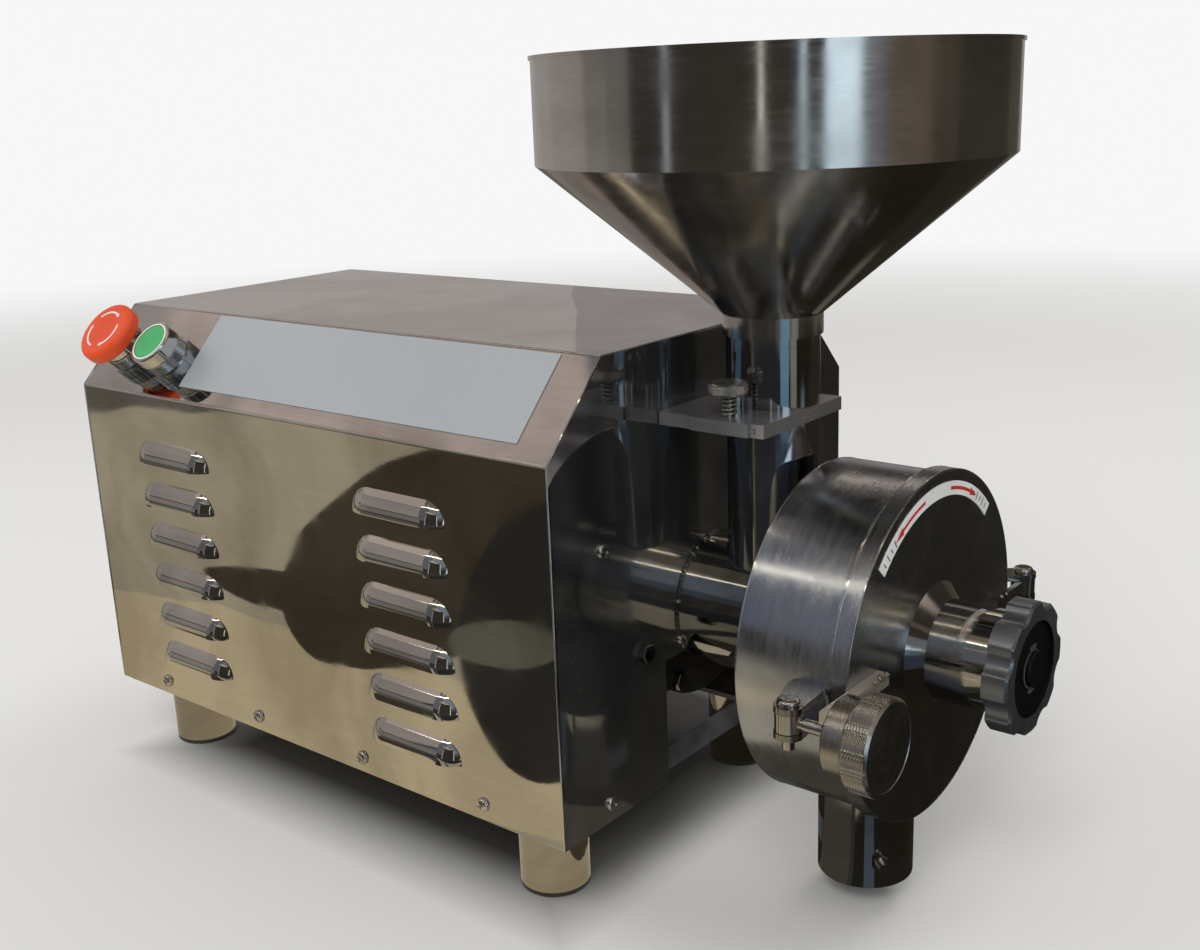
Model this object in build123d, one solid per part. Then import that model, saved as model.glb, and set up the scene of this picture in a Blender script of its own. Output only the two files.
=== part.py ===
from build123d import *
import math
import os

# A motor-driven plate mill for grain: a folded stainless housing with the motor inside, a feed
# neck with an auger, and a round grinding drum with a hinged front cover.
# +X runs along the shaft towards the grinding end, +Z is up, millimetres throughout.

# Placing of the machine in its frame
end_plate_x = 114.5
shaft_y = 5.85
shaft_height = 150.0

# Housing, folded from sheet
housing_length = 393.0
housing_width = 274.0
hem_drop = 4.0
shoulder_height = 256.0
housing_top = 302.0
shoulder_inset = 44.0
sheet = 1.5
bend_radius = 3.0
end_sheet = 2.0

# Pressed louvres on both side panels
louvre_length = 70.0
louvre_radius = 17.0
louvre_bulge = 6.5
louvre_pitch = 26.6
louvre_rows = 6
louvre_rise = 23.0
louvre_columns = (105.5, 304.0)

# Base frame, feet and the screws that hold the sheets to it
rail_height = 16.0
rail_leg = 20.0
rail_wall = 2.5
frame_drop = 92.0
corner_plate = 3.0
corner_plate_size = 66.0
foot_radius = 19.5
foot_wall = 1.5
foot_front_setback = 47.0
foot_rear_setback = 22.0
foot_spread = 93.0
pad_height = 3.0
pad_recess = 8.0
pad_chamfer = 1.0
screw_radius = 2.0
screw_head_radius = 4.0
screw_head_height = 2.4
side_screw_first = 56.4
side_screw_pitch = 94.7
side_screw_count = 4
side_screw_rise = 5.0
plate_screw_spread = 98.5
plate_screw_rise = 6.7
plate_screw_upper = 204.0

# Opening in the front plate under the neck
slot_half_width = 48.0
slot_drop = 23.0

# Motor
motor_radius = 72.0
motor_wall = 5.0
motor_front = 52.0
motor_length = 210.0
rib_count = 16
rib_height = 5.0
rib_width = 3.0
rib_free_below = 50.0
rib_free_beside_clip = 15.0
flange_radius = 58.0
flange_setback = 8.0
flange_depth = 12.0
bell_depth = 10.0
bearing_width = 15.0
bearing_radius = 26.0
bearing_race = 3.0
bearing_groove = 1.0
bell_clearance = 4.0
stator_length = 120.0
stator_bore = 41.0
air_gap = 0.6
rotor_setback = 4.0
fan_radius = 55.0
fan_blades = 8
fan_depth = 16.0
fan_setback = 6.0
fan_hub_wall = 6.0
fan_sheet = 2.5
fan_tip_gap = 4.0
cowl_wall = 1.2
cowl_depth = 46.0
cowl_holes = 12
cowl_hole_radius = 7.0
cowl_hole_ring = 33.0
saddle_half_width = 62.0
saddle_foot_half_width = 92.0
saddle_foot_height = 12.0
saddle_height = 40.0
saddle_bolt_radius = 5.5
saddle_bolt_head = 5.0
saddle_depth = 26.0
saddle_spread = 68.0
capacitor_radius = 20.0
capacitor_length = 82.0
capacitor_angle = 45.0
capacitor_round = 2.0
clip_width = 16.0
clip_height = 4.0
clip_breadth = 24.0
clip_stock = 12.0

# Shaft line
shaft_radius = 12.0
shaft_tail = 34.5
shaft_end_gap = 0.6
shaft_chamfer = 1.0
running_gap = 0.05
seal_radius = 20.0
seal_width = 6.0
auger_sleeve = 16.0
auger_radius = 32.5
auger_blade = 5.0
auger_pitch = 40.0

# Feed neck and feed tube
neck_radius = 37.0
neck_wall = 2.5
feed_radius = 24.4
feed_wall = 1.5
feed_setout = 38.4
feed_top = 308.0

# Grinding drum, burrs and outlet
drum_radius = 87.5
drum_wall = 2.5
drum_back = 71.0
drum_seam = 123.0
back_plate = 3.0
gasket_depth = 1.0
gasket_inset = 0.4
burr_radius = 62.0
fixed_burr_depth = 13.0
fixed_burr_hole = 35.0
moving_burr_depth = 12.0
burr_gap = 0.4
burr_hub_radius = 20.0
burr_hub_depth = 4.6
furrow_count = 12
furrow_width = 5.0
furrow_depth = 2.0
furrow_slant = 18.0
furrow_run_in = 2.0
furrow_run_out = 6.0
furrow_hub_gap = 4.0
outlet_radius = 25.4
outlet_wall = 1.5
outlet_setout = 96.0
outlet_bottom = 14.5
outlet_screw_height = 30.0
outlet_screw_angle = -45.0
outlet_screw_radius = 2.5
outlet_screw_length = 9.0
outlet_cut = 1.0
outlet_nut_seat = 0.2
nut_height = 3.0
nut_across = 8.0

# Front cover, its neck and the fineness adjuster
cover_radius = 90.0
cover_depth = 9.8
cover_plate = 4.0
cover_bore_wall = 6.0
cover_rim_gap = 1.0
cover_round = 1.0
cover_neck_radius = 25.6
cover_neck_wall = 2.5
cover_neck_length = 38.7
cone_radius = 33.4
cone_length = 7.0
spindle_radius = 8.0
spindle_nose = 6.0
nut_bush_length = 18.0
thrust_radius = 17.0
thrust_depth = 8.0
thrust_floor = 2.0
thrust_groove = 1.5
thrust_groove_start = 3.0
thrust_groove_end = 5.0
star_radius = 33.4
star_lobes = 8
star_scallop = 9.0
star_scallop_centre = 39.0
star_round = 2.5
star_depth = 12.7
star_edge = 1.2
star_face_radius = 24.0
star_face_recess = 1.6
star_seat = 9.0
knob_cap_radius = 9.0
knob_cap_proud = 0.8
dial_inner = 77.0
dial_outer = 84.0
dial_sheet = 0.4
dial_start_angle = 45.0
dial_end_angle = 136.0
dial_steps = 6

# Hinge and latch, on opposite sides of the drum
pin_reach = 111.0
ear_thickness = 3.0
ear_gap = 9.6
ear_radius = 7.0
ear_root = 18.0
ear_root_setback = 2.0
ear_weld = 1.0
pin_radius = 3.0
pin_head_radius = 5.4
pin_head_height = 3.0
pin_head_round = 2.1
pin_stub = 6.0
hinge_setout = 132.8
latch_drop = 1.5
latch_setout = 115.5
eye_radius = 6.6
rod_end = 146.0
fork_bar = 6.0
fork_gap = 8.0
fork_inner = 60.0
fork_outer = 114.0
leaf_inner = 70.0
washer_radius = 11.0
washer_thickness = 2.0
clamp_shoulder_radius = 18.5
clamp_shoulder_length = 11.0
clamp_rim_radius = 22.4
clamp_rim_length = 13.5
clamp_chamfer = 1.6
clamp_back_chamfer = 0.8
clamp_bore = 3.9
clamp_bore_depth = 18.0

# Feed gate under the hopper
guide_front = 63.6
guide_back = 0.5
guide_outer = 49.0
guide_inner = 27.0
guide_bottom = 258.6
guide_height = 7.0
gate_width = 40.0
gate_sheet = 2.0
gate_reach = 22.0
gate_floor = 2.4
lip_width = 34.0
lip_sheet = 1.6
thumb_setout = 41.5
thumb_radius = 2.5
thumb_head_radius = 10.0
thumb_head_height = 6.2
thumb_chamfer = 0.6
thumb_rise = 11.5
thumb_spring_radius = 4.4
thumb_spring_wire = 1.0

# Hopper
hopper_radius = 118.3
hopper_rim = 442.0
hopper_kink = 390.0
hopper_throat = 312.5
hopper_sleeve = 302.0
hopper_wall = 1.2
hopper_bead = 1.8

# Push buttons on the sloping shoulder
button_slope = 24.5
start_setback = 313.0
stop_setback = 352.0
barrel_radius = 11.0
collar_radius = 14.5
collar_height = 7.0
ring_radius = 13.8
ring_height = 8.0
start_bezel_radius = 14.7
start_bezel_height = 9.0
start_button_radius = 11.6
start_button_depth = 9.0
start_travel = 3.0
start_round = 0.6
start_bezel_round = 1.2
stop_bezel_radius = 13.0
stop_bezel_height = 5.0
stop_bezel_round = 1.0
stop_stem_radius = 7.0
stop_stem_floor = 4.0
stop_pivot_radius = 4.0
stop_pivot_height = 2.0
stop_cap_radius = 20.0
stop_cap_edge = 22.0
stop_cap_height = 9.5
stop_cap_round = 4.0
stop_cap_hem = 1.5
stop_cap_recess = 4.0
stop_cap_wall = 5.0
contact_width = 28.0
contact_depth = 34.0
lock_nut = 4.0

# Bare plate on the shoulder
name_plate_length = 274.0
name_plate_height = 52.0
name_plate_sheet = 0.5
name_plate_front = 24.0
name_plate_low = 9.5

# Rear plate
vent_count = 9
vent_width = 6.0
vent_height = 70.0
vent_pitch = 16.0
vent_middle = 190.0
gland_spread = 70.0
gland_height = 100.0
gland_radius = 11.0
gland_bore = 4.5
gland_nut = 7.0
gland_reach = 22.0
gland_tip_root = 8.8
gland_tip_end = 6.6
gland_tail = 6.0
gland_lock_nut = 4.0

# Clearances
fit_gap = 0.3

# Places worked out from the sizes above
axis_z = shaft_height
half_width = housing_width / 2
half_inside = half_width - sheet
housing_back = -housing_length
slope_rise = housing_top - shoulder_height
slope_angle = math.degrees(math.atan2(slope_rise, shoulder_inset))
latch_z = shaft_height - latch_drop
frame_bottom = shaft_height - frame_drop
frame_top = frame_bottom + rail_height
housing_bottom = frame_bottom - hem_drop
louvre_lowest = frame_bottom + louvre_rise
side_screw_height = frame_bottom + side_screw_rise
plate_screw_heights = (frame_bottom + plate_screw_rise, plate_screw_upper)
slot_top = shaft_height - slot_drop
motor_back = -motor_front - motor_length
burr_face = drum_back + back_plate + fixed_burr_depth
moving_burr_back = burr_face + burr_gap
hub_face = moving_burr_back + moving_burr_depth + burr_hub_depth
cover_face = drum_seam + cover_depth
thrust_back = hub_face + fit_gap
spindle_back = thrust_back + thrust_depth
neck_end = cover_face + cover_neck_length
star_back = neck_end + 2 * fit_gap
star_front = star_back + star_depth
fork_face = cover_face + fork_bar
feed_bore = feed_radius - feed_wall
gland_shank = gland_radius - gland_nut / 2

along_x = (Align.CENTER, Align.CENTER, Align.MIN)


def at(x, y, z):
    """Place measured from the front plate's outer face and the shaft's centre plane."""
    return Pos(end_plate_x + x, shaft_y + y, z)


def rod_x(radius, start, end, y=0.0, z=axis_z):
    """Round bar along X between two places."""
    return at(start, y, z) * Rot(0, 90, 0) * Cylinder(radius, end - start, align=along_x)


def rod_z(radius, low, high, x, y):
    """Upright round bar between two heights."""
    return at(x, y, low) * Cylinder(radius, high - low, align=along_x)


def pipe_x(outer, inner, start, end, y=0.0, z=axis_z):
    """Tube along X."""
    return rod_x(outer, start, end, y, z) - rod_x(inner, start, end, y, z)


def pipe_z(outer, inner, low, high, x, y):
    """Upright tube."""
    return rod_z(outer, low, high, x, y) - rod_z(inner, low, high, x, y)


def block(x0, x1, y0, y1, z0, z1):
    """Box between two corners."""
    middle = at((x0 + x1) / 2, (y0 + y1) / 2, (z0 + z1) / 2)
    return middle * Box(x1 - x0, y1 - y0, z1 - z0)


def turned_x(points, z=axis_z):
    """Solid of revolution about the shaft line from (x, radius) points."""
    face = make_face(Polyline(*[(x, r) for x, r in points], close=True))
    return at(0, 0, z) * revolve(face, Axis.X, 360)


def turned_z(points, x, y=0.0):
    """Solid of revolution about an upright line from (radius, height) points."""
    flat = make_face(Polyline(*[(r, z) for r, z in points], close=True))
    return at(x, y, 0) * revolve(Rot(90, 0, 0) * flat, Axis.Z, 360)


def housing_outline(inset, bottom, round_bends=True):
    """Cross-section of the housing, drawn flat with Y to the right and Z up."""
    half = half_width
    shoulder = half - shoulder_inset
    points = [(-half, bottom), (-half, shoulder_height), (-shoulder, housing_top)]
    points += [(shoulder, housing_top), (half, shoulder_height), (half, bottom)]
    outline = make_face(Polyline(*points, close=True))
    if round_bends:
        bends = [corner for corner in outline.vertices() if corner.Y > bottom + sheet]
        outline = fillet(bends, bend_radius)
    if inset:
        outline = offset(outline, -inset, kind=Kind.INTERSECTION)
    return outline


def housing_slab(inset, bottom, start, end):
    """Prism of the housing's cross-section between two places along X."""
    upright = Plane(origin=(end_plate_x + start, shaft_y, 0), x_dir=(0, 1, 0), z_dir=(1, 0, 0))
    return extrude(upright * housing_outline(inset, bottom), end - start)


def slope_place(setback, up, out=0.0):
    """Location on the sloping shoulder: its local Z stands square off the sheet."""
    tilt = math.radians(slope_angle)
    y = -half_width + up * math.cos(tilt) - out * math.sin(tilt)
    z = shoulder_height + up * math.sin(tilt) + out * math.cos(tilt)
    normal = (0, -math.sin(tilt), math.cos(tilt))
    return Plane(origin=(end_plate_x - setback, shaft_y + y, z), x_dir=(1, 0, 0), z_dir=normal)


def on_slope(setback, low, high, radius, up=button_slope):
    """Round bar that stands on the shoulder between two heights above it."""
    return slope_place(setback, up, low).location * Cylinder(radius, high - low, align=along_x)


def side_screw_sites():
    """Places of the screws through the two side panels: x, side and height."""
    sites = []
    for side in (-1, 1):
        for step in range(side_screw_count):
            sites.append((-side_screw_first - step * side_screw_pitch, side, side_screw_height))
    return sites


def plate_screw_sites():
    """Places of the screws through each end plate: y and height."""
    return [(side * plate_screw_spread, z) for side in (-1, 1) for z in plate_screw_heights]


def side_rod(radius, x, side, z, inner, outer):
    """Round bar across a side panel, between two distances from the centre plane."""
    bar = Cylinder(radius, outer - inner, align=along_x)
    return at(x, side * inner, z) * Rot(-side * 90, 0, 0) * bar


def louvre(x, side, z, radius):
    """Rounded bulge of one louvre before it is hollowed and cut open below."""
    inset = half_width - louvre_radius + louvre_bulge
    half_chord = math.sqrt(louvre_radius ** 2 - (louvre_radius - louvre_bulge) ** 2)
    reach = louvre_length / 2 - half_chord
    body = at(x, side * inset, z) * Rot(0, 90, 0) * Cylinder(radius, 2 * reach)
    for end in (-1, 1):
        body += at(x + end * reach, side * inset, z) * Sphere(radius)
    return body


def housing_cover():
    """Hood folded over the motor: two sides, two shoulders and a top."""
    shell = housing_slab(0, housing_bottom, housing_back, 0)
    shell -= housing_slab(sheet, housing_bottom - 4 * sheet, housing_back, 0)
    for x, side, z in side_screw_sites():
        shell -= side_rod(screw_radius, x, side, z, half_inside - sheet, half_width + sheet)
    for setback in (start_setback, stop_setback):
        shell -= on_slope(setback, -2 * sheet, sheet, barrel_radius)
    for side in (-1, 1):
        near = min(side * (half_width - sheet / 2), side * (half_width + louvre_radius))
        far = max(side * (half_width - sheet / 2), side * (half_width + louvre_radius))
        for column in louvre_columns:
            for row in range(louvre_rows):
                z = louvre_lowest + row * louvre_pitch
                above = block(-column - louvre_length, -column + louvre_length, near, far,
                              z, z + 2 * louvre_radius)
                opened = block(-column - louvre_length, -column + louvre_length,
                               side * half_width - louvre_radius, side * half_width + louvre_radius,
                               z, z + 2 * louvre_radius)
                shell += louvre(-column, side, z, louvre_radius) & above
                shell -= louvre(-column, side, z, louvre_radius - sheet) & opened
    return shell


def front_end_plate():
    """Plate that closes the grinding end, notched from below around the neck."""
    plate = housing_slab(sheet, housing_bottom - sheet, -end_sheet, 0)
    plate -= rod_x(neck_radius, -2 * end_sheet, end_sheet)
    plate -= block(-2 * end_sheet, end_sheet, -slot_half_width, slot_half_width,
                   housing_bottom - sheet, slot_top)
    for y, z in plate_screw_sites():
        plate -= rod_x(screw_radius, -2 * end_sheet, end_sheet, y, z)
    return plate


def rear_end_plate():
    """Plate that closes the motor end, with cooling slots and the hole for the cable gland."""
    plate = housing_slab(sheet, housing_bottom - sheet, housing_back, housing_back + end_sheet)
    for step in range(vent_count):
        y = (step - (vent_count - 1) / 2) * vent_pitch
        slot = Rot(0, 90, 0) * extrude(SlotOverall(vent_height, vent_width), 3 * end_sheet, both=True)
        plate -= at(housing_back, y, vent_middle) * slot
    plate -= rod_x(gland_shank, housing_back - end_sheet, housing_back + 2 * end_sheet,
                   gland_spread, gland_height)
    for y, z in plate_screw_sites():
        plate -= rod_x(screw_radius, housing_back - end_sheet, housing_back + 2 * end_sheet, y, z)
    return plate


def side_rails():
    """Two angle rails along the housing that its side panels screw to."""
    start = housing_back + end_sheet
    rails = []
    for side in (-1, 1):
        outer = side * half_inside
        inner = side * (half_inside - rail_wall)
        leg = side * (half_inside - rail_leg)
        rail = block(start, -end_sheet, min(outer, inner), max(outer, inner), frame_bottom, frame_top)
        rail += block(start, -end_sheet, min(outer, leg), max(outer, leg),
                      frame_bottom, frame_bottom + rail_wall)
        for x, screw_side, z in side_screw_sites():
            if screw_side == side:
                rail -= side_rod(screw_radius, x, side, z, half_inside - 2 * rail_wall, half_inside)
        rails.append(rail)
    return rails


def saddle_places():
    """Setbacks of the two saddles that carry the motor."""
    middle = motor_front + motor_length / 2
    return [middle - saddle_spread, middle + saddle_spread]


def cross_rails():
    """Rails across the base: one behind each end plate and one under each motor saddle."""
    reach = half_inside - rail_wall
    under_leg = frame_bottom + rail_wall
    rails = []
    for start, end in ((-end_sheet - rail_wall, -end_sheet),
                       (housing_back + end_sheet, housing_back + end_sheet + rail_wall)):
        rail = block(start, end, -reach, reach, under_leg, frame_top)
        for y, z in plate_screw_sites():
            if z < frame_top:
                rail -= rod_x(screw_radius, start, end, y, z)
        rails.append(rail)
    for setback in saddle_places():
        rails.append(block(-setback - saddle_depth / 2, -setback + saddle_depth / 2,
                           -reach, reach, under_leg, frame_top))
    return rails


def foot_sites():
    """Centres of the four feet."""
    fronts = (-foot_front_setback, housing_back + foot_rear_setback)
    return [(x, side * foot_spread) for x in fronts for side in (-1, 1)]


def corner_plates():
    """Plates in the frame's corners that the feet are welded to."""
    plates = []
    for x, y in foot_sites():
        side = 1 if y > 0 else -1
        inner = y - side * corner_plate_size / 2
        outer = side * half_inside
        front = min(x + corner_plate_size / 2, -end_sheet)
        back = max(x - corner_plate_size / 2, housing_back + end_sheet)
        plates.append(block(back, front, min(inner, outer), max(inner, outer),
                            frame_bottom - corner_plate, frame_bottom))
    return plates


def feet():
    """Four short tube legs."""
    low = pad_height
    high = frame_bottom - corner_plate
    return [pipe_z(foot_radius, foot_radius - foot_wall, low, high, x, y) for x, y in foot_sites()]


def foot_pads():
    """Rubber plugs pressed into the feet, which the mill stands on."""
    pads = []
    for x, y in foot_sites():
        pad = rod_z(foot_radius, 0, pad_height, x, y)
        pad = chamfer(pad.edges().group_by(Axis.Z)[0], pad_chamfer)
        pads.append(pad + rod_z(foot_radius - foot_wall, pad_height, pad_height + pad_recess, x, y))
    return pads


def screw_along(place, length):
    """Pan-head screw whose head sits on the place's plane and whose shank points back."""
    head = Cylinder(screw_head_radius, screw_head_height, align=along_x)
    head = fillet(head.edges().group_by(Axis.Z)[-1], screw_head_height / 2)
    shank = Pos(0, 0, -length) * Cylinder(screw_radius, length, align=along_x)
    return place * (head + shank)


def housing_screws():
    """Screws that hold the hood to the side rails and both end plates to the cross rails."""
    screws = []
    for x, side, z in side_screw_sites():
        place = at(x, side * half_width, z) * Rot(-side * 90, 0, 0)
        screws.append(screw_along(place, sheet + rail_wall))
    for y, z in plate_screw_sites():
        screws.append(screw_along(at(0, y, z) * Rot(0, 90, 0), end_sheet + rail_wall))
        screws.append(screw_along(at(housing_back, y, z) * Rot(0, -90, 0), end_sheet + rail_wall))
    return screws


def motor_shell():
    """Ribbed tube of the motor."""
    shell = rod_x(motor_radius, motor_back, -motor_front)
    for step in range(rib_count):
        angle = 360 * step / rib_count
        rib = Pos(0, 0, motor_radius) * Box(motor_length - 2 * bell_depth, rib_width, 2 * rib_height)
        clear_of_saddle = abs(angle - 180) > rib_free_below
        clear_of_clip = abs(angle - 360 + capacitor_angle) > rib_free_beside_clip
        if clear_of_saddle and clear_of_clip:
            shell += at((motor_back - motor_front) / 2, 0, axis_z) * Rot(angle, 0, 0) * rib
    return shell - rod_x(motor_radius - motor_wall, motor_back, -motor_front)


def motor_stator():
    """Wound core pressed into the shell."""
    middle = (motor_back - motor_front) / 2
    return pipe_x(motor_radius - motor_wall, stator_bore,
                  middle - stator_length / 2, middle + stator_length / 2)


def motor_front_bell():
    """Front bearing housing, whose flange carries the neck."""
    flange_face = -flange_setback
    flange_back = flange_face - flange_depth
    bore = shaft_radius + bell_clearance
    profile = [(-motor_front, bore), (-motor_front, motor_radius)]
    profile += [(-motor_front + bell_depth, motor_radius), (flange_back, flange_radius)]
    profile += [(flange_face, flange_radius), (flange_face, bore)]
    bell = turned_x(profile)
    bell -= rod_x(seal_radius, flange_face - seal_width, flange_face)
    return bell - rod_x(bearing_radius, -motor_front, -motor_front + bearing_width)


def motor_rear_bell():
    """Rear bearing housing."""
    bell = pipe_x(motor_radius, shaft_radius + bell_clearance, motor_back - bell_depth, motor_back)
    bell += pipe_x(bearing_radius + motor_wall, bearing_radius, motor_back, motor_back + bearing_width)
    return bell


def bearing(start):
    """Sealed ball bearing: two races and the ball ring between them."""
    end = start + bearing_width
    inner = shaft_radius + running_gap
    ring = pipe_x(bearing_radius, inner, start, end)
    groove = pipe_x(bearing_radius - bearing_race, inner + bearing_race, start, start + bearing_groove)
    return ring - groove - Pos(bearing_width - bearing_groove, 0, 0) * groove


def shaft_seal():
    """Lip seal that keeps meal out of the motor."""
    face = -flange_setback
    return pipe_x(seal_radius, shaft_radius + running_gap, face - seal_width, face)


def fan_cowl():
    """Pierced cover over the motor's fan."""
    back = motor_back - bell_depth - cowl_depth
    cowl = pipe_x(motor_radius, motor_radius - cowl_wall, back, motor_back - bell_depth)
    disc = rod_x(motor_radius, back - cowl_wall, back)
    for step in range(cowl_holes):
        hole = Pos(0, 0, cowl_hole_ring) * Rot(0, 90, 0) * Cylinder(cowl_hole_radius, 6 * cowl_wall)
        disc -= at(back, 0, axis_z) * Rot(360 * step / cowl_holes, 0, 0) * hole
    return cowl + disc


def motor_saddles():
    """Cast saddles between the motor and the base, each with a bolted foot."""
    saddles = []
    for setback in saddle_places():
        front = -setback + saddle_depth / 2
        back = -setback - saddle_depth / 2
        saddle = block(back, front, -saddle_half_width, saddle_half_width,
                       frame_top, frame_top + saddle_height)
        saddle += block(back, front, -saddle_foot_half_width, saddle_foot_half_width,
                        frame_top, frame_top + saddle_foot_height)
        saddles.append(saddle - rod_x(motor_radius, motor_back, -motor_front))
    return saddles


def motor_bolts():
    """Bolts that hold the saddles down."""
    bolts = []
    spread = (saddle_half_width + saddle_foot_half_width) / 2
    for setback in saddle_places():
        for side in (-1, 1):
            head = extrude(RegularPolygon(saddle_bolt_radius, 6), saddle_bolt_head)
            bolts.append(at(-setback, side * spread, frame_top + saddle_foot_height) * head)
    return bolts


def capacitor():
    """Starting capacitor strapped beside the motor."""
    distance = motor_radius + clip_height + capacitor_radius
    angle = math.radians(capacitor_angle)
    y = distance * math.sin(angle)
    z = axis_z + distance * math.cos(angle)
    middle = (motor_back - motor_front) / 2
    can = rod_x(capacitor_radius, middle - capacitor_length / 2, middle + capacitor_length / 2, y, z)
    return fillet(can.edges().filter_by(GeomType.CIRCLE), capacitor_round)


def capacitor_clip():
    """Saddle clip between the capacitor and the motor's shell."""
    angle = math.radians(capacitor_angle)
    distance = motor_radius + clip_height / 2
    middle = (motor_back - motor_front) / 2
    clip = Box(clip_width, clip_breadth, clip_stock)
    clip = at(middle, distance * math.sin(angle), axis_z + distance * math.cos(angle)) \
        * Rot(-capacitor_angle, 0, 0) * clip
    reach = motor_radius + clip_height + capacitor_radius
    clip -= rod_x(motor_radius, motor_back, -motor_front)
    return clip - rod_x(capacitor_radius, motor_back, -motor_front,
                        reach * math.sin(angle), axis_z + reach * math.cos(angle))


def main_shaft():
    """Motor shaft that runs through the neck to the moving burr."""
    tail = motor_back - bell_depth - shaft_tail
    shaft = rod_x(shaft_radius, tail, hub_face - burr_hub_depth - shaft_end_gap)
    return chamfer(shaft.edges().filter_by(GeomType.CIRCLE), shaft_chamfer)


def motor_rotor():
    """Laminated rotor on the shaft."""
    middle = (motor_back - motor_front) / 2
    reach = stator_length / 2 - rotor_setback
    return pipe_x(stator_bore - air_gap, shaft_radius, middle - reach, middle + reach)


def cooling_fan():
    """Radial fan behind the motor."""
    start = motor_back - bell_depth - fan_setback - fan_depth
    fan = rod_x(shaft_radius + fan_hub_wall, start, start + fan_depth)
    fan += rod_x(fan_radius, start + fan_depth - fan_sheet, start + fan_depth)
    span = fan_radius - shaft_radius - fan_tip_gap
    for step in range(fan_blades):
        blade = Pos(0, 0, (fan_radius + shaft_radius) / 2) * Box(fan_depth, fan_sheet, span)
        fan += at(start + fan_depth / 2, 0, axis_z) * Rot(360 * step / fan_blades, 0, 0) * blade
    return fan - rod_x(shaft_radius, start, start + fan_depth)


def feed_auger():
    """Screw in the neck that carries grain to the burrs."""
    start = fit_gap - flange_setback
    end = burr_face - fit_gap
    length = end - start
    section = Circle(auger_sleeve)
    blade = Rectangle(auger_radius - shaft_radius, auger_blade)
    section += Pos((auger_radius + shaft_radius) / 2, 0) * blade
    twist = 360 * length / auger_pitch
    screw = Solid.extrude_linear_with_rotation(
        section.faces()[0], center=(0, 0, 0), normal=(0, 0, length), angle=twist)
    screw = at(start, 0, axis_z) * Rot(0, 90, 0) * screw
    screw &= rod_x(auger_radius, start, end)
    return screw - rod_x(shaft_radius, start, end)


def furrows(face_x, inner, direction):
    """Slanted grooves of one burr face, cut into the burr by the furrow depth."""
    cuts = []
    for step in range(furrow_count):
        for share, start in ((0.0, inner), (0.5, (inner + burr_radius) / 2)):
            low = start - furrow_run_in
            high = burr_radius + furrow_run_out
            groove = Pos(0, 0, (low + high) / 2) * Box(2 * furrow_depth, furrow_width, high - low)
            angle = 360 * (step + share) / furrow_count
            lean = Pos(0, 0, inner) * Rot(direction * furrow_slant, 0, 0) * Pos(0, 0, -inner)
            cuts.append(at(face_x, 0, axis_z) * Rot(angle, 0, 0) * lean * groove)
    return cuts


def stationary_burr():
    """Burr plate bolted to the back of the drum."""
    burr = pipe_x(burr_radius, fixed_burr_hole, drum_back + back_plate, burr_face)
    for cut in furrows(burr_face, fixed_burr_hole, 1):
        burr -= cut
    return burr


def moving_burr():
    """Burr plate that turns with the shaft and slides on it."""
    back = moving_burr_back
    burr = rod_x(burr_radius, back, back + moving_burr_depth)
    burr += rod_x(burr_hub_radius, back + moving_burr_depth, hub_face)
    for cut in furrows(back, burr_hub_radius + furrow_hub_gap, -1):
        burr -= cut
    return burr - rod_x(shaft_radius + running_gap, back, hub_face - burr_hub_depth)


def neck_tube():
    """Heavy tube from the motor's flange to the drum, open on top to the feed tube."""
    neck = pipe_x(neck_radius, neck_radius - neck_wall, -flange_setback, drum_back)
    return neck - rod_z(feed_bore, axis_z, axis_z + 2 * neck_radius, feed_setout, 0)


def feed_tube():
    """Upright tube under the hopper, saddled on the neck and slotted for the gate."""
    tube = pipe_z(feed_radius, feed_bore, axis_z + neck_radius / 2, feed_top, feed_setout, 0)
    tube -= rod_x(neck_radius, 0, drum_back)
    half = gate_width / 2 + fit_gap
    low = guide_bottom + gate_floor - fit_gap
    return tube - block(feed_setout - half, feed_setout + half, -feed_radius - 1, 0,
                        low, low + gate_sheet + 2 * fit_gap)


def gate_guide():
    """Channel welded round the feed tube that the gate slides in."""
    high = guide_bottom + guide_height
    guide = block(guide_back, guide_front, -guide_outer, guide_inner, guide_bottom, high)
    guide -= rod_z(feed_radius, guide_bottom, high, feed_setout, 0)
    half = gate_width / 2 + fit_gap
    low = guide_bottom + gate_floor - fit_gap
    guide -= block(feed_setout - half, feed_setout + half, -guide_outer, 0,
                   low, low + gate_sheet + 2 * fit_gap)
    guide -= rod_z(thumb_radius + running_gap, low, high, feed_setout, -thumb_setout)
    return guide


def feed_gate():
    """Sheet that shuts the feed tube, with a turned-down lip to pull it by."""
    low = guide_bottom + gate_floor
    nose = gate_width / 2
    centre = gate_reach - nose
    gate = block(feed_setout - nose, feed_setout + nose, -guide_outer - fit_gap, centre,
                 low, low + gate_sheet)
    gate += rod_z(nose, low, low + gate_sheet, feed_setout, centre)
    lip_out = -guide_outer - fit_gap
    gate += block(feed_setout - lip_width / 2, feed_setout + lip_width / 2, lip_out - lip_sheet, lip_out,
                  guide_bottom, guide_bottom + guide_height)
    return gate


def thumb_screw():
    """Knurled screw that pinches the gate in its channel."""
    low = guide_bottom + gate_floor + gate_sheet + fit_gap
    top = guide_bottom + guide_height + thumb_rise
    screw = rod_z(thumb_radius, low, top, feed_setout, -thumb_setout)
    head = rod_z(thumb_head_radius, top, top + thumb_head_height, feed_setout, -thumb_setout)
    return screw + chamfer(head.edges().filter_by(GeomType.CIRCLE), 0.6)


def gate_spring():
    """Spring round the thumb screw, between its head and the channel."""
    low = guide_bottom + guide_height
    return pipe_z(thumb_spring_radius, thumb_spring_radius - thumb_spring_wire,
                  low, low + thumb_rise - fit_gap, feed_setout, -thumb_setout)


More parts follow.
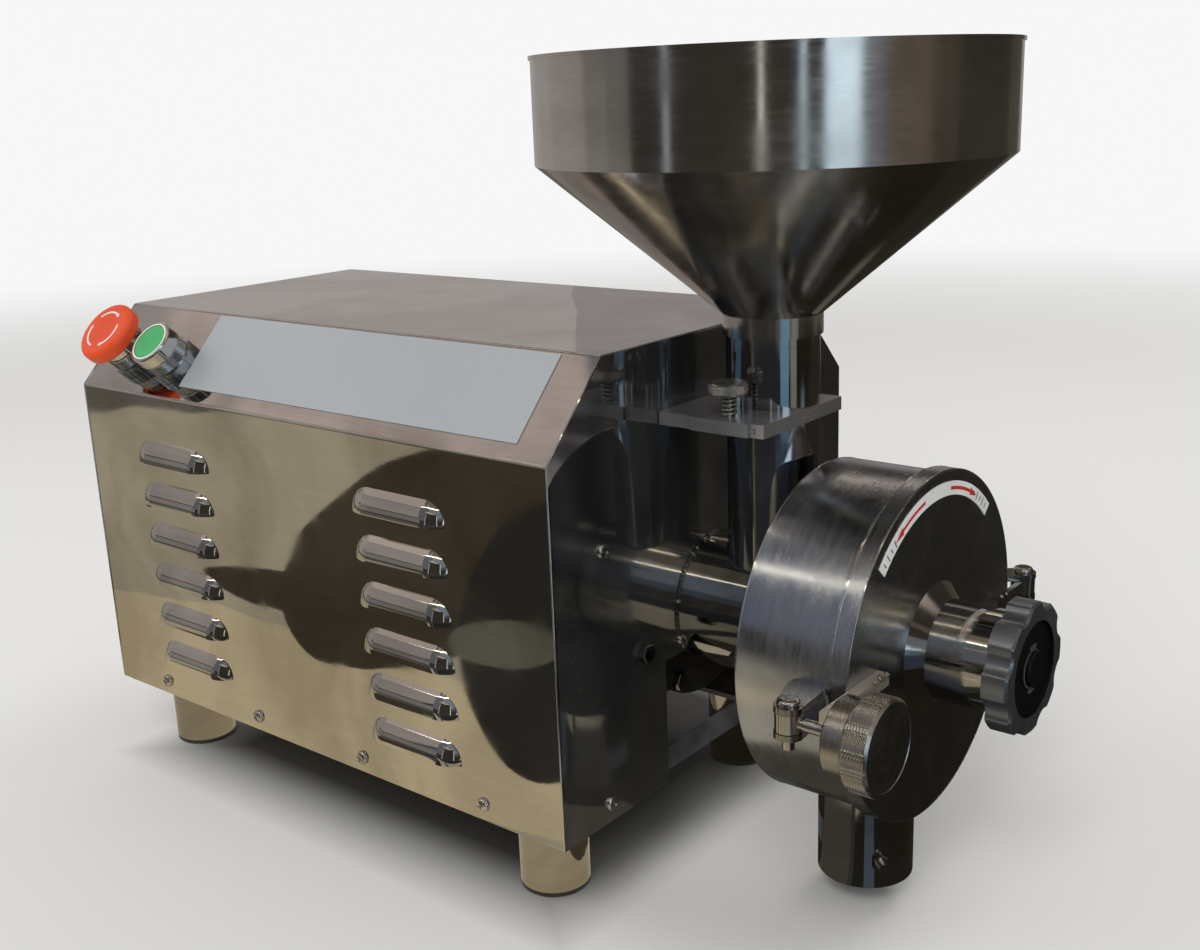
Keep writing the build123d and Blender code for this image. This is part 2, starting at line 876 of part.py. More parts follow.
def drum():
    """Grinding drum: a shell with its back plate, open to the outlet below."""
    front = drum_seam - gasket_depth - fit_gap
    profile = [(drum_back, neck_radius - neck_wall), (drum_back, drum_radius), (front, drum_radius)]
    profile += [(front, drum_radius - drum_wall), (drum_back + back_plate, drum_radius - drum_wall)]
    profile += [(drum_back + back_plate, neck_radius - neck_wall)]
    body = turned_x(profile)
    return body - rod_z(outlet_radius - outlet_wall, 0, axis_z - drum_radius / 2, outlet_setout, 0)


def cover_gasket():
    """Flat ring that seals the drum against its cover."""
    start = drum_seam - gasket_depth - fit_gap
    return pipe_x(drum_radius - gasket_inset, drum_radius - drum_wall, start, start + gasket_depth)


def outlet_spout():
    """Tube under the drum that the meal falls through."""
    tube = pipe_z(outlet_radius, outlet_radius - outlet_wall, outlet_bottom,
                  axis_z - drum_radius / 2, outlet_setout, 0)
    tube -= rod_x(drum_radius, 0, 2 * drum_seam)
    return tube - outlet_screw_bar(outlet_radius - 2 * outlet_wall, outlet_radius + outlet_cut)


def outlet_screw_bar(inner, outer):
    """Round bar across the outlet's wall at the set screw."""
    turn = at(outlet_setout, 0, outlet_screw_height) * Rot(0, 0, outlet_screw_angle)
    bar = Cylinder(outlet_screw_radius, outer - inner, align=along_x)
    return turn * Pos(inner, 0, 0) * Rot(0, 90, 0) * bar


def outlet_screw():
    """Set screw with its nut on the spout, for holding a bag or a tray."""
    inside = outlet_radius - outlet_wall
    screw = outlet_screw_bar(inside, inside + outlet_screw_length)
    turn = at(outlet_setout, 0, outlet_screw_height) * Rot(0, 0, outlet_screw_angle)
    nut = extrude(RegularPolygon(nut_across / 2, 6, major_radius=False), nut_height)
    seat = outlet_radius + outlet_nut_seat
    return screw + turn * Pos(seat, 0, 0) * Rot(0, 90, 0) * nut


def ear_outline(pin_x, side, root_front):
    """Plan of one ear: a straight root on the drum that narrows to a round end at the pin."""
    root = drum_radius - drum_wall
    brow = cover_radius + ear_weld
    corners = [(root_front - ear_root, side * root), (root_front, side * root)]
    corners += [(root_front, side * brow), (root_front - ear_root, side * brow)]
    plan = make_face(Polyline(*corners, close=True))
    end = Pos(pin_x, side * pin_reach) * Circle(ear_radius)
    neck = [(root_front - ear_root, side * brow), (root_front, side * brow)]
    away = math.atan2(pin_reach - brow, pin_x - root_front + ear_root / 2)
    across = (math.sin(away) * ear_radius, math.cos(away) * ear_radius)
    neck.append((pin_x + across[0], side * (pin_reach - across[1])))
    neck.append((pin_x - across[0], side * (pin_reach + across[1])))
    return plan + make_face(Polyline(*neck, close=True)) + end


def ears(pin_x, side, root_front):
    """Upper and lower ears welded to the drum, drilled for the pin."""
    pair = []
    for low in (latch_z - ear_gap / 2 - ear_thickness, latch_z + ear_gap / 2):
        ear = at(0, 0, low) * extrude(ear_outline(pin_x, side, root_front), ear_thickness)
        ear -= rod_x(drum_radius, 0, 2 * drum_seam)
        ear -= rod_z(pin_radius, low, low + ear_thickness, pin_x, side * pin_reach)
        pair.append(ear)
    return pair


def dome_pin(pin_x, side):
    """Pin with a domed head above the ears and a stub below them."""
    low = latch_z - ear_gap / 2 - ear_thickness - pin_stub
    top = latch_z + ear_gap / 2 + ear_thickness
    pin = rod_z(pin_radius, low, top, pin_x, side * pin_reach)
    head = rod_z(pin_head_radius, top, top + pin_head_height, pin_x, side * pin_reach)
    return pin + fillet(head.edges().group_by(Axis.Z)[-1], pin_head_round)


def swing_bolt():
    """Eye bolt on the latch pin whose threaded end lies in the fork."""
    half = ear_gap / 2 - fit_gap
    bolt = rod_z(eye_radius, latch_z - half, latch_z + half, latch_setout, -pin_reach)
    bolt += rod_x(pin_radius, latch_setout, rod_end, -pin_reach, latch_z)
    return bolt - rod_z(pin_radius, latch_z - half, latch_z + half, latch_setout, -pin_reach)


def front_cover():
    """Shallow dished cover of the drum, drilled for the adjusting spindle."""
    bore = spindle_radius + cover_bore_wall
    inside = drum_radius - drum_wall - cover_rim_gap
    profile = [(drum_seam, cover_radius), (cover_face, cover_radius), (cover_face, bore)]
    profile += [(cover_face - cover_plate, bore), (cover_face - cover_plate, inside)]
    profile += [(drum_seam, inside)]
    cover = turned_x(profile)
    rims = cover.edges().filter_by(GeomType.CIRCLE)
    outer_rim = [rim for rim in rims if abs(rim.radius - cover_radius) < 0.01
                 and rim.center().X > end_plate_x + cover_face - 0.1]
    return fillet(outer_rim, cover_round)


def cover_neck():
    """Tube on the cover that guides the adjuster, with its coned weld collar."""
    profile = [(cover_face, cover_neck_radius - cover_neck_wall), (cover_face, cone_radius)]
    profile += [(cover_face + cone_length, cover_neck_radius), (neck_end, cover_neck_radius)]
    profile += [(neck_end, cover_neck_radius - cover_neck_wall)]
    return turned_x(profile)


def adjuster_nut():
    """Threaded bush pressed into the cover's neck."""
    return pipe_x(cover_neck_radius - cover_neck_wall, spindle_radius + running_gap,
                  cover_face, cover_face + nut_bush_length)


def fork_bars():
    """Two bars welded to the cover that the swing bolt drops between."""
    bars = []
    for low in (latch_z - fork_gap / 2 - fork_bar, latch_z + fork_gap / 2):
        bar = block(cover_face, fork_face, -fork_outer, -fork_inner, low, low + fork_bar)
        bars.append(bar)
    return bars


def hinge_leaf():
    """Strap on the cover with the eye that turns on the hinge pin."""
    half = ear_gap / 2 - fit_gap
    strap = block(cover_face, cover_face + ear_thickness, leaf_inner, pin_reach,
                  latch_z - half, latch_z + half)
    eye = rod_z(eye_radius, latch_z - half, latch_z + half, hinge_setout, pin_reach)
    bore = rod_z(pin_radius + running_gap, latch_z - half, latch_z + half, hinge_setout, pin_reach)
    return strap + eye - bore


def dial_plate():
    """Bare arc plate on the cover that carries the fineness scale."""
    ring = pipe_x(dial_outer, dial_inner, cover_face, cover_face + dial_sheet)
    span = dial_end_angle - dial_start_angle
    wedge = [(0, 0)]
    for step in range(dial_steps + 1):
        angle = math.radians(dial_start_angle + span * step / dial_steps)
        wedge.append((2 * dial_outer * math.cos(angle), 2 * dial_outer * math.sin(angle)))
    centre = (end_plate_x + cover_face, shaft_y, axis_z)
    upright = Plane(origin=centre, x_dir=(0, 1, 0), z_dir=(1, 0, 0))
    return ring & extrude(upright * make_face(Polyline(*wedge, close=True)), 2 * dial_sheet)


def thrust_bearing():
    """Thrust race that the spindle pushes the moving burr with."""
    race = rod_x(thrust_radius, thrust_back, spindle_back)
    race -= rod_x(spindle_nose + running_gap, thrust_back + thrust_floor, spindle_back)
    return race - pipe_x(thrust_radius, thrust_radius - thrust_groove,
                         thrust_back + thrust_groove_start, thrust_back + thrust_groove_end)


def adjuster_spindle():
    """Threaded spindle between the star knob and the thrust race."""
    spindle = rod_x(spindle_radius, spindle_back + fit_gap, star_back + star_seat)
    nose_start = thrust_back + thrust_floor + fit_gap
    return spindle + rod_x(spindle_nose, nose_start, spindle_back + fit_gap)


def star_outline():
    """Lobed outline of the star knob."""
    outline = Circle(star_radius)
    for step in range(star_lobes):
        angle = math.radians(360 * (step + 0.5) / star_lobes)
        hollow = Pos(star_scallop_centre * math.cos(angle), star_scallop_centre * math.sin(angle))
        outline -= hollow * Circle(star_scallop)
    return fillet(outline.vertices(), star_round)


def star_knob():
    """Lobed hand knob with a recessed face and a plain cap in its middle."""
    centre = (end_plate_x + star_back, shaft_y, axis_z)
    upright = Plane(origin=centre, x_dir=(0, 1, 0), z_dir=(1, 0, 0))
    knob = extrude(upright * star_outline(), star_depth)
    knob = chamfer(knob.edges().group_by(Axis.X)[-1], star_edge)
    knob -= rod_x(star_face_radius, star_front - star_face_recess, star_front)
    cap = rod_x(knob_cap_radius, star_front - star_face_recess, star_front + knob_cap_proud)
    knob += chamfer(cap.edges().group_by(Axis.X)[-1], knob_cap_proud / 2)
    return knob - rod_x(spindle_radius, star_back, star_back + star_seat)


def clamp_washer():
    """Washer between the fork and the clamp knob."""
    start = fork_face + fit_gap
    return pipe_x(washer_radius, clamp_bore, start, start + washer_thickness, -pin_reach, latch_z)


def clamp_knob():
    """Turned hand knob of the latch: shoulder, knurled rim and flat face."""
    start = fork_face + washer_thickness + 2 * fit_gap
    shoulder_end = start + clamp_shoulder_length
    rim_end = shoulder_end + clamp_rim_length
    shoulder = rod_x(clamp_shoulder_radius, start, shoulder_end, -pin_reach, latch_z)
    shoulder = chamfer(shoulder.edges().group_by(Axis.X)[0], clamp_back_chamfer)
    rim = rod_x(clamp_rim_radius, shoulder_end, rim_end, -pin_reach, latch_z)
    rim = chamfer(rim.edges().filter_by(GeomType.CIRCLE), clamp_chamfer)
    return shoulder + rim - rod_x(clamp_bore, start, start + clamp_bore_depth, -pin_reach, latch_z)


def hopper():
    """Cylinder and cone of thin sheet, with a sleeve that drops over the feed tube."""
    sleeve = feed_radius + fit_gap
    outer = sleeve + hopper_wall
    seat = feed_top + fit_gap
    bead = hopper_radius + hopper_bead / 2
    profile = [(outer, hopper_sleeve), (outer, hopper_throat), (hopper_radius, hopper_kink)]
    profile += [(hopper_radius, hopper_rim - hopper_bead), (bead, hopper_rim - hopper_bead)]
    profile += [(bead, hopper_rim), (hopper_radius - hopper_wall, hopper_rim)]
    profile += [(hopper_radius - hopper_wall, hopper_kink + hopper_wall / 2)]
    profile += [(sleeve, hopper_throat + hopper_wall / 2), (feed_bore, seat + hopper_wall)]
    profile += [(feed_bore, seat), (sleeve, seat), (sleeve, hopper_sleeve)]
    return turned_z(profile, feed_setout)


def name_plate():
    """Bare plate on the shoulder where such a mill is labelled."""
    middle = name_plate_front + name_plate_length / 2
    up = name_plate_low + name_plate_height / 2
    place = slope_place(middle, up).location
    return place * Box(name_plate_length, name_plate_height, name_plate_sheet, align=along_x)


def button_collar(setback):
    """Collar and knurled ring that clamp a push button to the sheet, with its barrel and lock nut."""
    body = on_slope(setback, 0, collar_height, collar_radius)
    body += on_slope(setback, collar_height, collar_height + ring_height, ring_radius)
    body += on_slope(setback, -sheet - lock_nut, 0, barrel_radius)
    return body + on_slope(setback, -sheet - lock_nut, -sheet, collar_radius)


def start_housing():
    """Fixed part of the start button."""
    top = collar_height + ring_height
    body = button_collar(start_setback)
    bezel = Cylinder(start_bezel_radius, start_bezel_height, align=along_x)
    bezel = fillet(bezel.edges().filter_by(GeomType.CIRCLE), start_bezel_round)
    body += slope_place(start_setback, button_slope, top).location * bezel
    face = top + start_bezel_height
    floor = face - start_button_depth - start_travel - fit_gap
    return body - on_slope(start_setback, floor, face, start_button_radius + 2 * running_gap)


def start_button():
    """Green cap that is pressed to start the motor."""
    top = collar_height + ring_height + start_bezel_height
    cap = Cylinder(start_button_radius, start_button_depth, align=along_x)
    cap = fillet(cap.edges().group_by(Axis.Z)[-1], start_round)
    return slope_place(start_setback, button_slope, top - start_button_depth).location * cap


def stop_housing():
    """Fixed part of the stop button."""
    top = collar_height + ring_height
    body = button_collar(stop_setback)
    bezel = Cylinder(stop_bezel_radius, stop_bezel_height, align=along_x)
    bezel = fillet(bezel.edges().group_by(Axis.Z)[-1], stop_bezel_round)
    body += slope_place(stop_setback, button_slope, top).location * bezel
    bore = stop_stem_radius + 2 * running_gap
    return body - on_slope(stop_setback, collar_height, top + stop_bezel_height, bore)


def stop_stem():
    """Stem that the stop button's cap turns on."""
    low = collar_height + stop_stem_floor + fit_gap
    high = stop_cap_edge + stop_cap_recess
    stem = on_slope(stop_setback, low, high, stop_stem_radius)
    return stem + on_slope(stop_setback, high, high + stop_pivot_height, stop_pivot_radius)


def stop_cap():
    """Red mushroom cap, pressed to stop and twisted to release."""
    dome = Cylinder(stop_cap_radius, stop_cap_height, align=along_x)
    dome = fillet(dome.edges().group_by(Axis.Z)[-1], stop_cap_round)
    dome = fillet(dome.edges().group_by(Axis.Z)[0], stop_cap_hem)
    dome -= Cylinder(stop_cap_radius - stop_cap_wall, stop_cap_recess, align=along_x)
    pivot = Cylinder(stop_pivot_radius + running_gap, stop_pivot_height + fit_gap, align=along_x)
    dome -= Pos(0, 0, stop_cap_recess) * pivot
    return slope_place(stop_setback, button_slope, stop_cap_edge + fit_gap).location * dome


def contact_block(setback):
    """Switch block behind a push button."""
    depth = -sheet - lock_nut - contact_depth
    place = slope_place(setback, button_slope, depth).location
    return place * Box(contact_width, contact_width, contact_depth, align=along_x)


def cable_gland():
    """Gland on the rear plate where the supply cable would enter."""
    nut = extrude(RegularPolygon(gland_radius, 6), gland_nut)
    body = at(housing_back, gland_spread, gland_height) * Rot(0, -90, 0) * nut
    tip = Cone(gland_tip_root, gland_tip_end, gland_reach - gland_nut, align=along_x)
    body += at(housing_back - gland_nut, gland_spread, gland_height) * Rot(0, -90, 0) * tip
    inside = housing_back + end_sheet
    body += rod_x(gland_shank, housing_back, inside + gland_tail, gland_spread, gland_height)
    body += rod_x(gland_radius, inside, inside + gland_lock_nut, gland_spread, gland_height)
    return body - rod_x(gland_bore, housing_back - gland_reach, inside + gland_tail,
                        gland_spread, gland_height)


parts = {
    "housing_cover": housing_cover(),
    "front_end_plate": front_end_plate(),
    "rear_end_plate": rear_end_plate(),
    "side_rails": side_rails(),
    "cross_rails": cross_rails(),
    "corner_plates": corner_plates(),
    "feet": feet(),
    "foot_pads": foot_pads(),
    "housing_screws": housing_screws(),
    "motor_shell": motor_shell(),
    "motor_stator": motor_stator(),
    "motor_front_bell": motor_front_bell(),
    "motor_rear_bell": motor_rear_bell(),
    "motor_bearings": [bearing(-motor_front), bearing(motor_back)],
    "shaft_seal": shaft_seal(),
    "fan_cowl": fan_cowl(),
    "motor_saddles": motor_saddles(),
    "motor_bolts": motor_bolts(),
    "capacitor": capacitor(),
    "capacitor_clip": capacitor_clip(),
    "neck_tube": neck_tube(),
    "feed_tube": feed_tube(),
    "gate_guide": gate_guide(),
    "gate_spring": gate_spring(),
    "drum": drum(),
    "cover_gasket": cover_gasket(),
    "stationary_burr": stationary_burr(),
    "outlet_spout": outlet_spout(),
    "outlet_screw": outlet_screw(),
    "latch_ears": ears(latch_setout, -1, drum_seam - ear_root_setback),
    "swing_bolt": swing_bolt(),
    "hinge_ears": ears(hinge_setout, 1, drum_seam - ear_root_setback),
    "ear_pins": [dome_pin(latch_setout, -1), dome_pin(hinge_setout, 1)],
    "name_plate": name_plate(),
    "start_housing": start_housing(),
    "stop_housing": stop_housing(),
    "contact_blocks": [contact_block(start_setback), contact_block(stop_setback)],
    "cable_gland": cable_gland(),
    "main_shaft": main_shaft(),
    "motor_rotor": motor_rotor(),
    "cooling_fan": cooling_fan(),
    "feed_auger": feed_auger(),
    "moving_burr": moving_burr(),
    "front_cover": front_cover(),
    "cover_neck": cover_neck(),
    "adjuster_nut": adjuster_nut(),
    "fork_bars": fork_bars(),
    "hinge_leaf": hinge_leaf(),
    "dial_plate": dial_plate(),
    "thrust_bearing": thrust_bearing(),
    "adjuster_spindle": adjuster_spindle(),
    "star_knob": star_knob(),
    "clamp_washer": clamp_washer(),
    "clamp_knob": clamp_knob(),
    "feed_gate": feed_gate(),
    "thumb_screw": thumb_screw(),
    "hopper": hopper(),
    "start_button": start_button(),
    "stop_stem": stop_stem(),
    "stop_cap": stop_cap(),
}

os.makedirs("parts", exist_ok=True)
for name, shape in parts.items():
    if isinstance(shape, list):
        shape = Compound(children=[solid for piece in shape for solid in piece.solids()])
    export_step(shape, "parts/" + name + ".step")
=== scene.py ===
import math
import bmesh
import bpy
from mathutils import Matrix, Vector


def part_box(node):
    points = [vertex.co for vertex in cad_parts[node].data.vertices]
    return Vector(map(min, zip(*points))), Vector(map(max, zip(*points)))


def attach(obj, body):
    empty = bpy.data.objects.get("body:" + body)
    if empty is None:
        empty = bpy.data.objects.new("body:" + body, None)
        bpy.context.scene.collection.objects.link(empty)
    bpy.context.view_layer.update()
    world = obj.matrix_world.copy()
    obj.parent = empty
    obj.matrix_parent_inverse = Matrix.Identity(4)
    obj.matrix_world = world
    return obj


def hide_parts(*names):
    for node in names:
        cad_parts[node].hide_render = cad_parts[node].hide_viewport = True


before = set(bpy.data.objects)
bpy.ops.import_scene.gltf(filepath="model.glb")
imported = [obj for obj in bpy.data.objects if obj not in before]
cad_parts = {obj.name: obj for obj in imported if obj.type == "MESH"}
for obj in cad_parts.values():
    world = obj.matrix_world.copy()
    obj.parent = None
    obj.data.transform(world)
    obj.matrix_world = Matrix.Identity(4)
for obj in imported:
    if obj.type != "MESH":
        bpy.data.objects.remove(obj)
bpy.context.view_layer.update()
print("frame loaded:", len(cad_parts), "nodes")

# The machine's own places: millimetres from the front plate's outer face, the shaft line and the floor
mm = 0.001
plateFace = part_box("front_end_plate")[1].x
neckLow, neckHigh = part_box("neck_tube")
shaftY = (neckLow.y + neckHigh.y) / 2
shaftZ = (neckLow.z + neckHigh.z) / 2


def at(x, y, z):
    return Vector((plateFace + x * mm, shaftY + y * mm, z * mm))


def nodeMiddle(name):
    low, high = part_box(name)
    return (low + high) / 2


def turned(angles):
    return [math.radians(angle) for angle in angles]


def pickNothing():
    if bpy.context.object and bpy.context.object.mode == "EDIT":
        bpy.ops.object.mode_set(mode="OBJECT")
    bpy.ops.object.select_all(action="DESELECT")


def pick(*pieces):
    pickNothing()
    for piece in pieces:
        piece.select_set(True)
    bpy.context.view_layer.objects.active = pieces[-1]


def added(operator, **settings):
    # a new object, made with nothing else picked
    pickNothing()
    operator(**settings)
    return bpy.context.object


def workOver(piece, kind, **settings):
    # puts a modifier on a piece and applies it
    modifier = piece.modifiers.new(kind, kind)
    for label, value in settings.items():
        setattr(modifier, label, value)
    bpy.ops.object.modifier_apply(modifier=kind)


def editAll():
    bpy.ops.object.mode_set(mode="EDIT")
    bpy.ops.mesh.select_all(action="SELECT")


def leaveEdit():
    bpy.ops.object.mode_set(mode="OBJECT")


def settle(piece, name, body, finish, smooth=40):
    # applies the place to the mesh, shades it and hangs it on its body
    pick(piece)
    bpy.ops.object.transform_apply(location=True, rotation=True, scale=True)
    bpy.ops.object.shade_smooth_by_angle(angle=math.radians(smooth))
    piece.name = name
    piece.data.name = name
    piece.data.materials.clear()
    piece.data.materials.append(finishes[finish])
    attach(piece, body)


# Shader nodes: each input takes another node's output or a plain value


def feed(tree, node, inputs):
    for place, value in inputs.items():
        if isinstance(value, bpy.types.NodeSocket):
            tree.links.new(value, node.inputs[place])
        elif value is not None:
            node.inputs[place].default_value = value


def addNode(tree, kind, inputs=None, **settings):
    node = tree.nodes.new("ShaderNode" + kind)
    for label, value in settings.items():
        setattr(node, label, value)
    feed(tree, node, inputs or {})
    return node


def mathNode(tree, operation, first, second=None, clamp=False):
    return addNode(tree, "Math", {0: first, 1: second}, operation=operation, use_clamp=clamp).outputs[0]


def noiseNode(tree, vector, scale, detail=2.0, distortion=0.0):
    inputs = {"Vector": vector, "Scale": scale, "Detail": detail, "Distortion": distortion}
    return addNode(tree, "TexNoise", inputs).outputs["Fac"]


def splitNode(tree, vector):
    return addNode(tree, "SeparateXYZ", {0: vector}).outputs


def rangeNode(tree, value, low, high, fromLow=0.0, fromHigh=1.0, **settings):
    inputs = {"Value": value, "From Min": fromLow, "From Max": fromHigh, "To Min": low, "To Max": high}
    return addNode(tree, "MapRange", inputs, **settings).outputs["Result"]


def mixColours(tree, factor, first, second, blend="MIX"):
    first, second = ((*colour, 1.0) if isinstance(colour, tuple) else colour for colour in (first, second))
    return addNode(tree, "Mix", {0: factor, 6: first, 7: second}, data_type="RGBA", blend_type=blend).outputs[2]


def placedVector(tree, centre=(0, 0, 0), turn=(0, 0, 0), stretch=(1, 1, 1)):
    inputs = {"Vector": addNode(tree, "TexCoord").outputs["Object"], "Location": centre, "Rotation": turned(turn),
              "Scale": [1 / share for share in stretch]}
    return addNode(tree, "Mapping", inputs, vector_type="TEXTURE").outputs["Vector"]


def bumpNode(tree, height, distance, before=None):
    inputs = {"Height": height, "Distance": distance, "Strength": 1.0, "Normal": before}
    return addNode(tree, "Bump", inputs).outputs["Normal"]


def newGroup(name, scale, *outputs):
    # every group takes a vector, and most a scale; an output is a number unless it is called Vector
    group = bpy.data.node_groups.new(name, "ShaderNodeTree")
    group.interface.new_socket("Vector", in_out="INPUT", socket_type="NodeSocketVector")
    if scale is not None:
        group.interface.new_socket("Scale", in_out="INPUT", socket_type="NodeSocketFloat").default_value = scale
    for label in outputs:
        kind = "NodeSocketVector" if label == "Vector" else "NodeSocketFloat"
        group.interface.new_socket(label, in_out="OUTPUT", socket_type=kind)
    return group, group.nodes.new("NodeGroupInput").outputs, group.nodes.new("NodeGroupOutput")


# What the shared effects look like: shares, scales against the group's own, details and distortions
grainLook = {"fine": 0.65, "coarse": 0.35, "coarseScale": 0.27, "fineDetail": 3.0, "coarseDetail": 1.0}
waveLook = {"heightDetail": 1.5, "heightBend": 0.6, "toneScale": 1.7, "toneDetail": 3.0, "toneBend": 1.4}
markLook = {"detail": 5.0, "bend": 0.8, "from": 0.42, "to": 0.72}


def buildGrain():
    # fine polishing lines: the vector comes in already stretched across the lines
    group, start, end = newGroup("polishGrain", 400.0, "Height")
    fine = noiseNode(group, start["Vector"], start["Scale"], grainLook["fineDetail"])
    coarseScale = mathNode(group, "MULTIPLY", start["Scale"], grainLook["coarseScale"])
    coarse = noiseNode(group, start["Vector"], coarseScale, grainLook["coarseDetail"])
    shares = [mathNode(group, "MULTIPLY", fine, grainLook["fine"]),
              mathNode(group, "MULTIPLY", coarse, grainLook["coarse"])]
    feed(group, end, {"Height": mathNode(group, "ADD", *shares)})
    return group


def buildTurned():
    # a point's distance from the Z axis, its angle and its height: coordinates for lathe lines round that axis
    group, start, end = newGroup("latheLines", None, "Vector")
    x, y, z = splitNode(group, start["Vector"])
    squares = [mathNode(group, "POWER", side, 2.0) for side in (x, y)]
    radius = mathNode(group, "SQRT", mathNode(group, "ADD", *squares))
    joint = addNode(group, "CombineXYZ", {0: radius, 1: mathNode(group, "ARCTAN2", y, x), 2: z})
    feed(group, end, {"Vector": joint.outputs[0]})
    return group


def buildWaves():
    # slow waves of a thin sheet, and a tone that drifts with them
    group, start, end = newGroup("sheetWaves", 6.0, "Height", "Tone")
    slow = noiseNode(group, start["Vector"], start["Scale"], waveLook["heightDetail"], waveLook["heightBend"])
    toneScale = mathNode(group, "MULTIPLY", start["Scale"], waveLook["toneScale"])
    tone = noiseNode(group, start["Vector"], toneScale, waveLook["toneDetail"], waveLook["toneBend"])
    feed(group, end, {"Height": slow, "Tone": tone})
    return group


def buildSmudges():
    # hand marks and dust: a patchy mask from 0 to 1
    group, start, end = newGroup("handMarks", 22.0, "Mask")
    patch = noiseNode(group, start["Vector"], start["Scale"], markLook["detail"], markLook["bend"])
    feed(group, end, {"Mask": rangeNode(group, patch, 0.0, 1.0, markLook["from"], markLook["to"])})
    return group


polishGrain, latheLines, sheetWaves, handMarks = buildGrain(), buildTurned(), buildWaves(), buildSmudges()


def useGroup(tree, group, vector, scale=None):
    inputs = {"Vector": vector} if scale is None else {"Vector": vector, "Scale": scale}
    return addNode(tree, "Group", inputs, node_tree=group).outputs


def newMaterial(name):
    made = bpy.data.materials.new(name)
    made.use_nodes = True
    return made, made.node_tree, made.node_tree.nodes["Principled BSDF"]


def tones(light, dark, rough, **more):
    # light and dark tone, lowest and highest roughness, and what differs from the common look below
    return {"light": light, "dark": dark, "rough": rough, **more}


# The grain is stretched along the sheet, or runs round an axis; the bands say which part of a noise is used
commonSteel = {"metallic": 1.0, "stretch": (0.04, 0.04, 1.0), "latheScale": (0.12, 0.012, 1.0), "grainScale": 900.0,
               "grainDepth": 1e-5, "waveScale": 6.0, "waveDepth": 0.0004, "markScale": 22.0,
               "toneBand": (0.36, 0.64), "grainTone": 0.92, "grainBand": (0.35, 0.65), "sway": 0.25,
               "swayBand": (0.3, 0.7)}
commonPlain = {"metallic": 0.0, "driftScale": 40.0, "driftDetail": 3.0, "driftBand": (0.35, 0.65), "markScale": 35.0,
               "skinScale": 1800.0, "skinDepth": 1e-5}
axisTurns = {"x": (0, 90, 0), "z": (0, 0, 0)}


def steel(name, look):
    made, tree, shader = newMaterial(name)
    look = {**commonSteel, **look}
    plain = placedVector(tree)
    if "axis" in look:
        lathe = useGroup(tree, latheLines, placedVector(tree, look["centre"], axisTurns[look["axis"]]))
        mapping = addNode(tree, "Mapping", {"Vector": lathe["Vector"], "Scale": look["latheScale"]})
        along = mapping.outputs["Vector"]
    else:
        along = placedVector(tree, stretch=look["stretch"])
    grain = useGroup(tree, polishGrain, along, look["grainScale"])["Height"]
    waves = useGroup(tree, sheetWaves, plain, look["waveScale"])
    marks = useGroup(tree, handMarks, plain, look["markScale"])["Mask"]
    drift = rangeNode(tree, waves["Tone"], 0.0, 1.0, *look["toneBand"])
    colour = mixColours(tree, drift, look["dark"], look["light"])
    fineTone = rangeNode(tree, grain, look["grainTone"], 1.0, *look["grainBand"])
    fineGrey = addNode(tree, "CombineColor", {channel: fineTone for channel in range(3)}).outputs[0]
    sway = look["sway"] * look["rough"][0]
    rough = mathNode(tree, "ADD", rangeNode(tree, marks, *look["rough"]),
                     rangeNode(tree, grain, -sway, sway, *look["swayBand"]), True)
    slow = bumpNode(tree, waves["Height"], look["waveDepth"])
    feed(tree, shader, {"Metallic": look["metallic"], "Roughness": rough,
                        "Base Color": mixColours(tree, 1.0, colour, fineGrey, "MULTIPLY"),
                        "Normal": bumpNode(tree, grain, look["grainDepth"], slow)})
    return made


def plainStuff(name, look):
    # moulded plastic, rubber and paint: two close tones, fine skin texture
    made, tree, shader = newMaterial(name)
    look = {**commonPlain, **look}
    plain = placedVector(tree)
    drift = noiseNode(tree, plain, look["driftScale"], look["driftDetail"])
    drift = rangeNode(tree, drift, 0.0, 1.0, *look["driftBand"])
    marks = useGroup(tree, handMarks, plain, look["markScale"])["Mask"]
    skin = noiseNode(tree, plain, look["skinScale"])
    feed(tree, shader, {"Metallic": look["metallic"], "Roughness": rangeNode(tree, marks, *look["rough"]),
                        "Base Color": mixColours(tree, drift, look["dark"], look["light"]),
                        "Normal": bumpNode(tree, skin, look["skinDepth"])})
    return made


def starStuff(look):
    # satin lobes, and a near-black face inside its rim: the mask is a distance from the shaft and a place along it
    made = steel("starSatin", look)
    tree = made.node_tree
    shader = tree.nodes["Principled BSDF"]
    lathe = useGroup(tree, latheLines, placedVector(tree, shaftPoint, axisTurns["x"]))
    place = splitNode(tree, lathe["Vector"])
    inside = mathNode(tree, "LESS_THAN", place[0], look["faceRadius"] * mm)
    ahead = mathNode(tree, "GREATER_THAN", place[2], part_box("star_knob")[1].x - look["faceDepth"] * mm)
    mask = mathNode(tree, "MULTIPLY", inside, ahead)
    colour, rough = (shader.inputs[label].links[0].from_socket for label in ("Base Color", "Roughness"))
    faceRough = mathNode(tree, "MULTIPLY", mask, look["faceRough"])
    feed(tree, shader, {"Base Color": mixColours(tree, mask, colour, look["face"]),
                        "Metallic": mathNode(tree, "SUBTRACT", look["metallic"], mask, True),
                        "Roughness": mathNode(tree, "ADD", rough, faceRough, True)})
    return made


